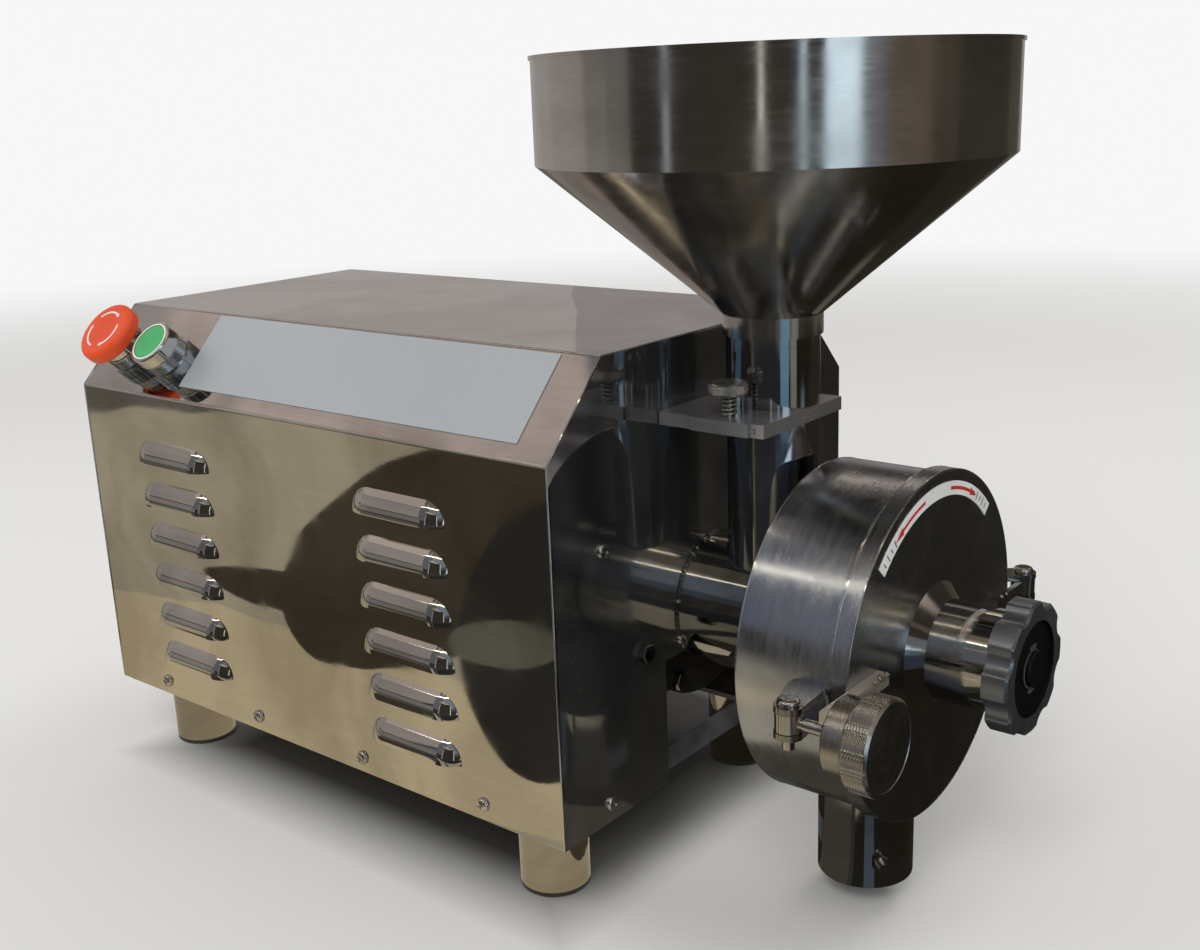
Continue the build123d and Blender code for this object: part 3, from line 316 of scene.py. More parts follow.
shaftPoint = (0.0, shaftY, shaftZ)
steelLooks = {
    "hoodSheet": tones((0.62, 0.60, 0.565), (0.44, 0.42, 0.385), (0.03, 0.09), stretch=(0.05, 0.05, 1.0),
                       grainDepth=2e-6, waveDepth=0.0017, waveScale=5.0),
    "mirrorSheet": tones((0.45, 0.455, 0.455), (0.28, 0.285, 0.29), (0.03, 0.11), metallic=0.955, grainDepth=2e-6,
                         waveDepth=0.0005, waveScale=7.0),
    "drumSteel": tones((0.55, 0.575, 0.63), (0.42, 0.44, 0.48), (0.20, 0.30), axis="x", centre=shaftPoint,
                       grainDepth=4e-6, waveDepth=0.0002),
    "brushedGrey": tones((0.54, 0.54, 0.545), (0.42, 0.42, 0.425), (0.16, 0.28), grainDepth=5e-7, metallic=0.82),
    "satinPlate": tones((0.50, 0.49, 0.47), (0.34, 0.33, 0.31), (0.14, 0.26), grainDepth=3e-7),
    "barSteel": tones((0.66, 0.60, 0.50), (0.50, 0.45, 0.37), (0.22, 0.34), grainDepth=5e-7, metallic=0.75),
    "neckSteel": tones((0.62, 0.61, 0.58), (0.46, 0.45, 0.42), (0.05, 0.11), axis="x", centre=shaftPoint,
                       grainDepth=4e-6, waveDepth=0.0002),
    "feedSteel": tones((0.60, 0.60, 0.60), (0.42, 0.42, 0.42), (0.06, 0.14), grainDepth=3e-6, waveDepth=0.0003),
    "footSteel": tones((0.54, 0.49, 0.41), (0.38, 0.34, 0.28), (0.06, 0.14), grainDepth=3e-6, waveDepth=0.0003),
    "hopperSteel": tones((0.62, 0.60, 0.57), (0.46, 0.44, 0.41), (0.12, 0.20), axis="z",
                         centre=(*nodeMiddle("hopper").xy, 0.0), grainDepth=6e-6, waveDepth=0.0003),
    "screwSteel": tones((0.66, 0.65, 0.62), (0.50, 0.49, 0.46), (0.10, 0.22)),
    "turnedSteel": tones((0.50, 0.48, 0.45), (0.38, 0.365, 0.34), (0.26, 0.38), axis="x",
                         centre=(0.0, *nodeMiddle("clamp_knob").yz), grainDepth=3e-6,
                         latheScale=(0.6, 0.002, 1.0)),
    "thumbSteel": tones((0.50, 0.49, 0.47), (0.36, 0.35, 0.33), (0.24, 0.36)),
    "zincRing": tones((0.60, 0.63, 0.66), (0.42, 0.45, 0.48), (0.18, 0.30)),
    "weldSteel": tones((0.66, 0.64, 0.58), (0.40, 0.38, 0.33), (0.12, 0.26)),
    "seamSteel": tones((0.26, 0.25, 0.23), (0.09, 0.085, 0.075), (0.16, 0.34)),
    "bezelChrome": tones((0.70, 0.70, 0.69), (0.58, 0.58, 0.57), (0.05, 0.12)),
    "burrIron": tones((0.42, 0.41, 0.40), (0.26, 0.25, 0.24), (0.35, 0.55), grainDepth=3e-5),
    "augerSteel": tones((0.56, 0.54, 0.51), (0.40, 0.38, 0.35), (0.18, 0.34)),
    "nutBrass": tones((0.72, 0.56, 0.28), (0.58, 0.44, 0.20), (0.16, 0.30)),
}
plainLooks = {
    "darkFrame": tones((0.10, 0.10, 0.105), (0.05, 0.05, 0.055), (0.38, 0.60), metallic=0.0),
    "padRubber": tones((0.035, 0.035, 0.036), (0.018, 0.018, 0.018), (0.55, 0.75)),
    "gasketRubber": tones((0.70, 0.69, 0.64), (0.60, 0.58, 0.52), (0.5, 0.65)),
    # the motor's front bell is near-black: painted shade standing in for the dark inside of the hood
    "bellPaintedShade": tones((0.036, 0.033, 0.028), (0.020, 0.018, 0.015), (0.30, 0.46), metallic=0.5),
    "motorPaint": tones((0.20, 0.22, 0.24), (0.13, 0.145, 0.16), (0.30, 0.50)),
    "statorIron": tones((0.22, 0.21, 0.20), (0.12, 0.115, 0.11), (0.45, 0.65), metallic=1.0),
    "capacitorCan": tones((0.05, 0.05, 0.055), (0.03, 0.03, 0.035), (0.18, 0.32)),
    "plateGrey": tones((0.345, 0.37, 0.385), (0.325, 0.35, 0.365), (0.42, 0.55), driftScale=9.0),
    "switchBlack": tones((0.05, 0.05, 0.05), (0.03, 0.03, 0.03), (0.35, 0.5)),
    "fanBlack": tones((0.07, 0.07, 0.07), (0.045, 0.045, 0.045), (0.4, 0.55)),
    "dialWhite": tones((0.80, 0.80, 0.79), (0.72, 0.72, 0.70), (0.22, 0.36)),
    "knobBlack": tones((0.085, 0.085, 0.09), (0.05, 0.05, 0.053), (0.30, 0.48), skinDepth=3e-5),
    "capGreen": tones((0.055, 0.40, 0.14), (0.04, 0.33, 0.11), (0.20, 0.32)),
    "capRed": tones((0.74, 0.075, 0.012), (0.64, 0.055, 0.010), (0.34, 0.46)),
    "markRed": tones((0.60, 0.03, 0.02), (0.52, 0.02, 0.015), (0.3, 0.4)),
    "markWhite": tones((0.78, 0.77, 0.74), (0.70, 0.69, 0.66), (0.3, 0.4)),
    "markDark": tones((0.035, 0.035, 0.038), (0.02, 0.02, 0.022), (0.35, 0.5)),
}
finishes = {name: steel(name, look) for name, look in steelLooks.items()}
finishes.update({name: plainStuff(name, look) for name, look in plainLooks.items()})
starLook = tones((0.34, 0.36, 0.39), (0.22, 0.235, 0.26), (0.26, 0.36), metallic=0.9, grainDepth=6e-6,
                 face=(0.002, 0.0022, 0.003), faceRadius=24.0, faceDepth=5.0, faceRough=0.12)
finishes["starSatin"] = starStuff(starLook)
print("finishes made:", len(finishes))

# The finish of every CAD node
nodeFinish = {
    "hoodSheet": ["housing_cover"],
    "mirrorSheet": ["front_end_plate", "rear_end_plate"],
    "brushedGrey": ["gate_guide", "feed_gate"],
    "drumSteel": ["drum", "front_cover"],
    "satinPlate": ["latch_ears", "hinge_ears", "hinge_leaf"],
    "barSteel": ["fork_bars"],
    "neckSteel": ["neck_tube", "cover_neck"],
    "feedSteel": ["feed_tube", "outlet_spout"],
    "footSteel": ["feet"],
    "hopperSteel": ["hopper"],
    "screwSteel": ["housing_screws", "gate_spring", "ear_pins", "outlet_screw", "swing_bolt", "motor_bolts",
                   "clamp_washer", "thumb_screw", "motor_bearings"],
    "turnedSteel": ["clamp_knob"],
    "bezelChrome": ["start_housing", "stop_housing"],
    "burrIron": ["stationary_burr", "moving_burr"],
    "augerSteel": ["feed_auger", "main_shaft", "adjuster_spindle", "thrust_bearing"],
    "nutBrass": ["adjuster_nut"],
    "darkFrame": ["side_rails", "cross_rails", "corner_plates", "motor_saddles"],
    "padRubber": ["foot_pads", "shaft_seal"],
    "gasketRubber": ["cover_gasket"],
    # painted shade: the front bell is darkened to stand for the shade inside the hood
    "bellPaintedShade": ["motor_front_bell"],
    "motorPaint": ["motor_shell", "motor_rear_bell", "fan_cowl", "capacitor_clip"],
    "statorIron": ["motor_stator", "motor_rotor"],
    "capacitorCan": ["capacitor"],
    "plateGrey": ["name_plate"],
    "switchBlack": ["contact_blocks", "cable_gland", "stop_stem"],
    "fanBlack": ["cooling_fan"],
    "dialWhite": ["dial_plate"],
    "starSatin": ["star_knob"],
    "capGreen": ["start_button"],
    "capRed": ["stop_cap"],
}
covered = set()
for finishName, members in nodeFinish.items():
    covered.update(members)
    for member in members:
        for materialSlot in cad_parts[member].material_slots:
            materialSlot.material = finishes[finishName]
print("nodes without a finish:", sorted(set(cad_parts) - covered))


def choose(piece, test, kind="verts"):
    # in edit mode, selects only the vertices or faces that pass the test
    bpy.context.tool_settings.mesh_select_mode = (kind == "verts", False, kind == "faces")
    bpy.ops.mesh.select_all(action="DESELECT")
    mesh = bmesh.from_edit_mesh(piece.data)
    for item in getattr(mesh, kind):
        if test(item):
            item.select_set(True)
    mesh.select_flush(True)
    bmesh.update_edit_mesh(piece.data)


meetGap = 0.002 * mm  # points closer than this become one
slack = {"radius": 0.02, "face": 0.03, "lug": 0.05}  # how far from a surface a point or face still counts (mm)


def cleanMesh():
    # joins the points that meet, turns every face outward and leaves edit mode
    bpy.ops.mesh.select_all(action="SELECT")
    bpy.ops.mesh.remove_doubles(threshold=meetGap)
    bpy.ops.mesh.normals_make_consistent(inside=False)
    leaveEdit()


def turnedShape(name, points, count=64, hollow=False):
    # a disc, or a ring where it is hollow, extruded and resized ring by ring up its Z axis: (radius, height) in mm
    radius, height = points[0]
    piece = added(bpy.ops.mesh.primitive_circle_add, vertices=count, radius=radius * mm,
                  fill_type="NOTHING" if hollow else "NGON", location=(0, 0, height * mm))
    bpy.context.tool_settings.mesh_select_mode = (True, False, False)
    bpy.ops.object.transform_apply(location=True)
    piece.name = name
    editAll()
    for nextRadius, nextHeight in points[1:] + ([points[0]] if hollow else []):
        bpy.ops.mesh.extrude_region_move(TRANSFORM_OT_translate={"value": (0, 0, (nextHeight - height) * mm)})
        if nextRadius != radius:
            share = nextRadius / radius
            bpy.ops.transform.resize(value=(share, share, 1), center_override=(0, 0, nextHeight * mm))
        radius, height = nextRadius, nextHeight
    cleanMesh()
    return piece


def rings(band):
    # the rings of a band that a knurl is worked into
    reach = band["high"] - band["low"]
    return [(band["radius"], band["low"] + reach * row / band["rows"]) for row in range(band["rows"] + 1)]


def knurlBand(values, radius, base, top):
    # the band between the two edges of a knurled head
    return {"radius": radius, "low": base + values["edge"], "high": top - values["edge"], "rows": values["rows"],
            "depth": values["depth"]}


def knurl(piece, band, count):
    # every other point of the band stands out, which leaves diamonds
    step = (band["high"] - band["low"]) / band["rows"] * mm
    editAll()

    def raised(point):
        row = round((point.co.z - band["low"] * mm) / step)
        column = round(math.atan2(point.co.y, point.co.x) * count / math.tau)
        onBand = abs(math.hypot(point.co.x, point.co.y) - band["radius"] * mm) < slack["radius"] * mm
        return onBand and 0 < row < band["rows"] and (row + column) % 2 == 0

    choose(piece, raised)
    share = 1 + band["depth"] / band["radius"]
    bpy.ops.transform.resize(value=(share, share, 1), center_override=(0, 0, 0))

    def inBand(face):
        middle = face.calc_center_median()
        return (band["low"] * mm < middle.z < band["high"] * mm
                and math.hypot(middle.x, middle.y) > (band["radius"] - slack["face"]) * mm)

    choose(piece, inBand, "faces")
    bpy.ops.mesh.quads_convert_to_tris(quad_method="SHORTEST_DIAGONAL")
    leaveEdit()


def stand(piece, place, turn=(0, 0, 0)):
    piece.location = place
    piece.rotation_euler = turned(turn)
    return piece


def another(piece):
    pick(piece)
    bpy.ops.object.duplicate(linked=False)
    return bpy.context.object


def joined(pieces):
    pick(*pieces)
    bpy.ops.object.transform_apply(location=True, rotation=True, scale=True)
    if len(pieces) > 1:
        bpy.ops.object.join()
    return bpy.context.object


def bevelAll(offset, segments=1):
    editAll()
    bpy.ops.mesh.bevel(offset=offset * mm, segments=segments)
    leaveEdit()


arrowHead = 2.4  # how many times as wide as its shaft an arrow's head is


def arcBand(name, middle, half, start, span, steps, thickness, head=0.0):
    # a strip swung round the Z axis, with an arrow head where one is asked for; degrees and mm.
    # With no window a spin turns clockwise, so its angle is given with the other sign.
    inner, outer = middle - half, middle + half
    width, middle = outer - inner, (inner + outer) / 2
    strip = added(bpy.ops.mesh.primitive_plane_add, size=width * mm, location=(middle * mm, width / 2 * mm, 0))
    bpy.ops.object.transform_apply(location=True)
    strip.name = name
    editAll()
    choose(strip, lambda point: point.co.y > 0.5 * width * mm)
    bpy.ops.mesh.delete(type="VERT")
    bpy.ops.mesh.select_all(action="SELECT")
    bpy.ops.mesh.spin(steps=steps, angle=-math.radians(span), center=(0, 0, 0), axis=(0, 0, 1))
    if head:
        end = math.radians(span)
        tip = Vector((middle * math.cos(end), middle * math.sin(end), 0)) * mm
        bpy.ops.mesh.extrude_region_move(TRANSFORM_OT_translate={"value": (0, 0, 0)})
        bpy.ops.transform.resize(value=(arrowHead, arrowHead, 1), center_override=tip)
        bpy.ops.mesh.spin(steps=1, angle=math.radians(-head if span > 0 else head), center=(0, 0, 0), axis=(0, 0, 1))
        bpy.ops.mesh.merge(type="CENTER")
    cleanMesh()
    workOver(strip, "SOLIDIFY", thickness=thickness * mm, offset=0)
    strip.rotation_euler.z = math.radians(start)
    bpy.ops.object.transform_apply(rotation=True)
    return strip


# Knurled clamp knob
clampKnob = {"shoulder": 18.5, "shoulderEnd": 11.0, "shoulderEdge": 0.8, "edge": 1.2, "dish": 0.35, "dishRim": 1.2,
             "dishSlope": 0.3, "middle": 0.6, "bore": 3.9, "boreDepth": 18.0, "columns": 210, "rows": 16,
             "depth": 0.32}


def makeClampKnob():
    low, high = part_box("clamp_knob")
    length = (high.x - low.x) / mm
    rim = (high.z - low.z) / 2 / mm - clampKnob["depth"]
    shoulder, shoulderEnd = clampKnob["shoulder"], clampKnob["shoulderEnd"]
    edge, floor = rim - clampKnob["edge"], length - clampKnob["dish"]
    band = knurlBand(clampKnob, rim, shoulderEnd, length)
    points = [(clampKnob["bore"], clampKnob["boreDepth"]), (clampKnob["bore"], 0),
              (shoulder - clampKnob["shoulderEdge"], 0), (shoulder, clampKnob["shoulderEdge"]),
              (shoulder, shoulderEnd), (edge, shoulderEnd)]
    points += rings(band)
    points += [(edge, length), (edge - clampKnob["dishRim"], length),
               (edge - clampKnob["dishRim"] - clampKnob["dishSlope"], floor), (clampKnob["middle"], floor)]
    knob = turnedShape("clampKnob", points, clampKnob["columns"])
    knurl(knob, band, clampKnob["columns"])
    middle = nodeMiddle("clamp_knob")
    stand(knob, (low.x, middle.y, middle.z), (0, 90, 0))
    settle(knob, "clampKnob", "clamp", "turnedSteel", 22)
    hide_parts("clamp_knob")


# Knurled thumb screw and its coil spring
thumbScrew = {"shank": 2.5, "tip": 0.4, "head": 6.2, "edge": 0.5, "dishRim": 2.4, "dishFloor": 2.7, "dish": 0.3,
              "middle": 0.5, "columns": 72, "rows": 6, "depth": 0.45}
coil = {"wire": 0.55, "sides": 12, "turns": 4.5, "steps": 26, "start": 40}


def makeThumbScrew():
    low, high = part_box("thumb_screw")
    middle = nodeMiddle("thumb_screw")
    length = (high.z - low.z) / mm
    rim = (high.y - low.y) / 2 / mm - thumbScrew["depth"]
    under, floor = length - thumbScrew["head"], length - thumbScrew["dish"]
    band = knurlBand(thumbScrew, rim, under, length)
    points = [(thumbScrew["shank"] - thumbScrew["tip"], 0), (thumbScrew["shank"], thumbScrew["tip"]),
              (thumbScrew["shank"], under), (rim - thumbScrew["edge"], under)]
    points += rings(band)
    points += [(rim - thumbScrew["edge"], length), (rim - thumbScrew["dishRim"], length),
               (rim - thumbScrew["dishFloor"], floor), (thumbScrew["middle"], floor)]
    screw = turnedShape("thumbScrew", points, thumbScrew["columns"])
    knurl(screw, band, thumbScrew["columns"])
    stand(screw, (middle.x, middle.y, low.z))
    settle(screw, "thumbScrew", "thumb", "thumbSteel", 22)
    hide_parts("thumb_screw")


def woundShape(sides, wire, place, turns, rise, steps):
    # a small ring wound up round the Z axis, for a spring or a thread
    shape = added(bpy.ops.mesh.primitive_circle_add, vertices=sides, radius=wire, fill_type="NOTHING",
                  rotation=(math.pi / 2, 0, 0), location=place)
    bpy.ops.object.transform_apply(location=True, rotation=True)
    steps = int(turns * steps)
    workOver(shape, "SCREW", angle=math.tau * turns, screw_offset=rise, steps=steps, render_steps=steps)
    editAll()
    bpy.ops.mesh.fill_holes(sides=0)
    bpy.ops.mesh.normals_make_consistent(inside=False)
    leaveEdit()
    return shape


def makeSpring():
    low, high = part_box("gate_spring")
    middle = nodeMiddle("gate_spring")
    wire = coil["wire"] * mm
    reach = (high.x - low.x) / 2 - wire
    rise = high.z - low.z - 2 * wire
    spring = woundShape(coil["sides"], wire, (reach, 0, wire), coil["turns"], rise, coil["steps"])
    stand(spring, (middle.x, middle.y, low.z), (0, 0, coil["start"]))
    settle(spring, "gateSpring", "root", "screwSteel", 50)
    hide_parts("gate_spring")


# Thread of the swing bolt
boltThread = {"start": 124.0, "end": 145.2, "pitch": 1.25, "root": 2.9, "crest": 0.42, "steps": 24}


def makeBoltThread():
    middle = nodeMiddle("swing_bolt")
    length = boltThread["end"] - boltThread["start"]
    thread = woundShape(3, boltThread["crest"] * mm, (boltThread["root"] * mm, 0, 0), length / boltThread["pitch"],
                        length * mm, boltThread["steps"])
    stand(thread, (at(boltThread["start"], 0, 0).x, middle.y, middle.z), (0, 90, 0))
    settle(thread, "boltThread", "root", "screwSteel", 20)


# Screws of the housing
panScrew = {"radius": 4.0, "rise": 2.4, "crown": ((1, 0.35), (0.93, 0.62), (0.76, 0.84), (0.5, 0.96), (0.15, 1)),
            "slot": 0.9, "slotLength": 1.3, "depth": 1.1, "edge": 0.15, "shank": 2.0, "length": 4.0,
            "round": 32, "firstTurn": 17, "turnStep": 53}
sideScrews = {"first": 56.4, "pitch": 94.7, "count": 4, "halfWidth": 137.0}
plateScrews = {"spread": 98.5, "lift": 1.7, "upper": 204.0, "depth": 393.0}


def makePanScrew():
    radius, rise = panScrew["radius"], panScrew["rise"]
    points = [(panScrew["shank"], -panScrew["length"]), (panScrew["shank"], 0), (radius, 0)]
    points += [(radius * across, rise * up) for across, up in panScrew["crown"]]
    screw = turnedShape("panScrew", points, panScrew["round"])
    cutter = added(bpy.ops.mesh.primitive_cube_add, size=1, location=(0, 0, rise * mm))
    cutter.scale = (panScrew["slot"] * mm, panScrew["slotLength"] * radius * mm, 2 * panScrew["depth"] * mm)
    bpy.ops.object.transform_apply(location=True, scale=True)
    bevelAll(panScrew["edge"])
    across = another(cutter)
    across.rotation_euler.z = math.pi / 2
    for tool in (cutter, across):
        pick(tool)
        bpy.ops.object.transform_apply(rotation=True)
        pick(screw)
        workOver(screw, "BOOLEAN", operation="DIFFERENCE", object=tool)
        bpy.data.objects.remove(tool)
    return screw


def makeHousingScrews():
    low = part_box("housing_screws")[0].z / mm + panScrew["radius"]
    first = makePanScrew()
    places = []
    for side in (-1, 1):
        for step in range(sideScrews["count"]):
            back = -sideScrews["first"] - step * sideScrews["pitch"]
            places.append((at(back, side * sideScrews["halfWidth"], low), (-side * 90, 0, 0)))
        for z in (low + plateScrews["lift"], plateScrews["upper"]):
            places.append((at(0, side * plateScrews["spread"], z), (0, 90, 0)))
            places.append((at(-plateScrews["depth"], side * plateScrews["spread"], z), (0, -90, 0)))
    made = []
    for number, (place, turn) in enumerate(places):
        screw = another(first)
        screw.rotation_euler.z = math.radians(panScrew["firstTurn"] + panScrew["turnStep"] * number)
        pick(screw)
        bpy.ops.object.transform_apply(rotation=True)
        made.append(stand(screw, place, turn))
    bpy.data.objects.remove(first)
    screws = joined(made)
    settle(screws, "housingScrews", "root", "screwSteel", 30)
    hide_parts("housing_screws")


# Push buttons: knurled rings, lugged collars, the start button's rim and the cap's arrows
slope = {"shoulder": 256.0, "halfWidth": 137.0, "rise": 46.0, "inset": 44.0, "up": 24.5}
slopeTilt = math.atan2(slope["rise"], slope["inset"])
buttonRing = {"radius": 13.85, "inset": 0.5, "low": 7.3, "high": 14.7, "rows": 12, "columns": 132, "depth": 0.34}
buttonCollar = {"inner": 14.45, "outer": 14.7, "low": 0.2, "high": 6.6, "lugs": 12, "lugShare": 0.62, "proud": 0.75,
                "round": 96}
startRim = {"inner": 11.75, "outer": 12.75, "low": 23.85, "high": 24.15, "edge": 0.1, "round": 72}
capArrows = {"radius": 12.4, "width": 1.25, "span": 78, "steps": 14, "head": 11, "starts": (20, 140, 260),
             "top": 31.8, "sheet": 0.3}


def standOnSlope(piece, node, out=0.0):
    # at a node's place along the hood, that many mm out of its slope
    back = (nodeMiddle(node).x - plateFace) / mm
    y = -slope["halfWidth"] + slope["up"] * math.cos(slopeTilt) - out * math.sin(slopeTilt)
    z = slope["shoulder"] + slope["up"] * math.sin(slopeTilt) + out * math.cos(slopeTilt)
    return stand(piece, at(back, y, z), (math.degrees(slopeTilt), 0, 0))


def makeButtonRings():
    # modelled once and stood at both buttons
    inner = buttonRing["radius"] - buttonRing["inset"]
    points = [(inner, buttonRing["low"]), *rings(buttonRing), (inner, buttonRing["high"])]
    ring = turnedShape("buttonRing", points, buttonRing["columns"], hollow=True)
    knurl(ring, buttonRing, buttonRing["columns"])
    inner, outer, low, high = (buttonCollar[key] for key in ("inner", "outer", "low", "high"))
    points = [(inner, low), (outer, low), (outer, high), (inner, high)]
    collar = turnedShape("buttonCollar", points, buttonCollar["round"], hollow=True)
    editAll()
    pitch = 360 / buttonCollar["lugs"]

    def onLug(face):
        middle = face.calc_center_median()
        angle = math.degrees(math.atan2(middle.y, middle.x)) % pitch
        outside = math.hypot(middle.x, middle.y) > (outer - slack["lug"]) * mm
        return outside and angle < buttonCollar["lugShare"] * pitch

    choose(collar, onLug, "faces")
    bpy.ops.mesh.extrude_region_shrink_fatten(TRANSFORM_OT_shrink_fatten={"value": buttonCollar["proud"] * mm})
    leaveEdit()
    pair = joined([ring, collar])
    for name, node in (("startRings", "start_housing"), ("stopRings", "stop_housing")):
        settle(standOnSlope(another(pair), node), name, "root", "zincRing", 22)
    bpy.data.objects.remove(pair)


def makeStartRim():
    inner, outer, low, high, edge = (startRim[key] for key in ("inner", "outer", "low", "high", "edge"))
    points = [(inner, low), (outer, low), (outer, high - edge), (outer - edge, high), (inner + edge, high),
              (inner, high - edge)]
    rim = turnedShape("startRim", points, startRim["round"], hollow=True)
    settle(standOnSlope(rim, "start_housing"), "startRim", "root", "markWhite")


def makeCapArrows():
    marks = joined([arcBand("capArrow", capArrows["radius"], capArrows["width"] / 2, start, -capArrows["span"],
                            capArrows["steps"], capArrows["sheet"], capArrows["head"])
                    for start in capArrows["starts"]])
    standOnSlope(marks, "stop_cap", capArrows["top"])
    settle(marks, "capArrows", "stop_cap", "markWhite")


# Arrows and ticks of the fineness scale: an arrow's start and span, and every other tick longer; degrees and mm
dial = {"inner": 77.0, "outer": 84.0, "sheet": 0.12, "arrow": 1.7, "arrowSteps": 10, "head": 6.0,
        "arrows": ((101, 17), (81, -17)), "ticks": (48, 51, 54, 57, 60, 124, 127, 130, 133), "tickWidth": 0.7,
        "tickLengths": (1.5, 2.3)}
facingFront = (90, 0, 90)  # the local X axis lies along the frame's Y, and the local Z along its X


def makeDialMarks():
    middle = (dial["inner"] + dial["outer"]) / 2
    arrows = [arcBand("dialArrow", middle, dial["arrow"] / 2, start, span, dial["arrowSteps"], dial["sheet"],
                      dial["head"]) for start, span in dial["arrows"]]
    width = math.degrees(dial["tickWidth"] / middle)
    ticks = [arcBand("dialTick", middle, dial["tickLengths"][number % 2], angle, width, 1, dial["sheet"])
             for number, angle in enumerate(dial["ticks"])]
    for name, parts, finish in (("dialArrows", arrows, "markRed"), ("dialTicks", ticks, "markDark")):
        marks = stand(joined(parts), (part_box("dial_plate")[1].x, shaftY, shaftZ), facingFront)
        settle(marks, name, "cover", finish)


# Ring and teeth in the face of the star knob
starFace = {"groove": 9.3, "wire": 0.55, "ringFlat": 0.6, "sunk": 2.3, "sides": (90, 270), "teeth": (-13, 0, 13),
            "toothIn": 9.2, "toothOut": 12.4, "toothWidth": 1.1, "toothHeight": 1.0, "toothEdge": 0.15,
            "round": 72}


def makeTooth(angle):
    middle = (starFace["toothIn"] + starFace["toothOut"]) / 2 * mm
    tooth = added(bpy.ops.mesh.primitive_cube_add, size=1, location=(middle, 0, -starFace["sunk"] * mm))
    tooth.scale = ((starFace["toothOut"] - starFace["toothIn"]) * mm, starFace["toothWidth"] * mm,
                   starFace["toothHeight"] * mm)
    bpy.ops.object.transform_apply(location=True, scale=True)
    bevelAll(starFace["toothEdge"], 2)
    tooth.rotation_euler.z = math.radians(angle)
    return tooth


def makeStarFace():
    ring = added(bpy.ops.mesh.primitive_torus_add, major_radius=starFace["groove"] * mm,
                 minor_radius=starFace["wire"] * mm, major_segments=starFace["round"], minor_segments=10)
    ring.scale.z = starFace["ringFlat"]
    ring.location.z = -starFace["sunk"] * mm
    teeth = [makeTooth(side + lean) for side in starFace["sides"] for lean in starFace["teeth"]]
    detail = stand(joined([ring] + teeth), (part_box("star_knob")[1].x, shaftY, shaftZ), facingFront)
    settle(detail, "starFace", "adjuster", "knobBlack", 30)


# Bolts of the end plate and the motor's flange, and a rivet in the hood
smallBolts = {"plateSpread": 66.7, "plateZ": 138.4, "hexRadius": 5.6, "hexRise": 4.0, "cap": 0.5, "capInset": 0.8,
              "edge": 0.2, "flangeSpread": 26.4, "flangeDrop": 44.0, "rivetPlace": (-337.5, -137.0, 183.5),
              "rivet": [(2.1, -0.2), (2.1, 0.3), (1.8, 0.8), (1.1, 1.1), (0.3, 1.2)], "rivetRound": 24}


def makeHexHead():
    rise = smallBolts["hexRise"]
    head = added(bpy.ops.mesh.primitive_cylinder_add, vertices=6, radius=smallBolts["hexRadius"] * mm,
                 depth=rise * mm, location=(0, 0, rise / 2 * mm))
    bpy.ops.object.transform_apply(location=True)
    editAll()
    choose(head, lambda face: face.normal.z > 0.9, "faces")
    bpy.ops.mesh.inset(thickness=smallBolts["capInset"] * mm)
    bpy.ops.transform.translate(value=(0, 0, smallBolts["cap"] * mm))
    leaveEdit()
    bevelAll(smallBolts["edge"])
    return head


def makeSmallBolts():
    first = makeHexHead()
    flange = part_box("motor_front_bell")[1].x
    heads = []
    for side in (-1, 1):
        onFlange = (flange, shaftY + side * smallBolts["flangeSpread"] * mm, shaftZ - smallBolts["flangeDrop"] * mm)
        onPlate = at(0, side * smallBolts["plateSpread"], smallBolts["plateZ"])
        heads += [stand(another(first), place, (0, 90, 0)) for place in (onFlange, onPlate)]
    bpy.data.objects.remove(first)
    settle(joined(heads), "plateBolts", "root", "seamSteel", 25)
    rivet = turnedShape("hoodRivet", smallBolts["rivet"], smallBolts["rivetRound"])
    stand(rivet, at(*smallBolts["rivetPlace"]), (90, 0, 0))
    settle(rivet, "hoodRivet", "root", "screwSteel")


# Weld beads: rings round the shaft line and saddles where an upright tube meets a round body (mm)
weld = {"bead": 0.75, "ripple": 1.006, "rippleRise": 1.25, "ripplePitch": 3, "round": 216, "saddleRound": 120,
        "neck": 37.2, "plateOut": 0.5, "drumBack": 0.3}
saddles = {"feedWeld": {"node": "feed_tube", "tube": 24.6, "body": 37.3, "side": 1},
           "outletWeld": {"node": "outlet_spout", "tube": 25.6, "body": 87.7, "side": -1}}
edgeLine = {"radius": 0.42, "proud": 0.15}


def roundBead(name, radius, x, bead, ripple=1.0):
    made = added(bpy.ops.mesh.primitive_torus_add, major_radius=radius * mm, minor_radius=bead * mm,
                 major_segments=weld["round"], minor_segments=10)
    made.name = name
    if ripple != 1.0:
        editAll()
        pitch = math.tau / weld["round"]
        choose(made, lambda point: round(math.atan2(point.co.y, point.co.x) / pitch) % weld["ripplePitch"] == 0)
        bpy.ops.transform.resize(value=(ripple, ripple, weld["rippleRise"]), center_override=(0, 0, 0))
        leaveEdit()
    return stand(made, (x, shaftY, shaftZ), (0, 90, 0))


def makeWeldRings():
    places = {"plateBead": at(weld["plateOut"], 0, 0).x, "drumBead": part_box("drum")[0].x - weld["drumBack"] * mm}
    beads = [roundBead(name, weld["neck"], x, weld["bead"], weld["ripple"]) for name, x in places.items()]
    settle(joined(beads), "neckWelds", "root", "seamSteel", 60)


def makeEdgeLines():
    for name, node, body in (("drumEdges", "drum", "root"), ("coverEdges", "front_cover", "cover")):
        low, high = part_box(node)
        radius = (high.z - low.z) / 2 / mm - edgeLine["radius"]
        ends = (low.x + edgeLine["radius"] * mm, high.x - edgeLine["radius"] * mm)
        edges = joined([roundBead(name, radius + edgeLine["proud"], x, edgeLine["radius"]) for x in ends])
        settle(edges, name, body, "bezelChrome", 60)


# Corners of the hood seen from its end: across from the middle line, and up from the floor
hoodOutline = [(-137.0, 54.6), (-137.0, 256.0), (-93.4, 301.4), (93.4, 301.4), (137.0, 256.0), (137.0, 54.6)]
foldLine = {"radius": 0.5, "inset": 0.4, "smoothness": 2}


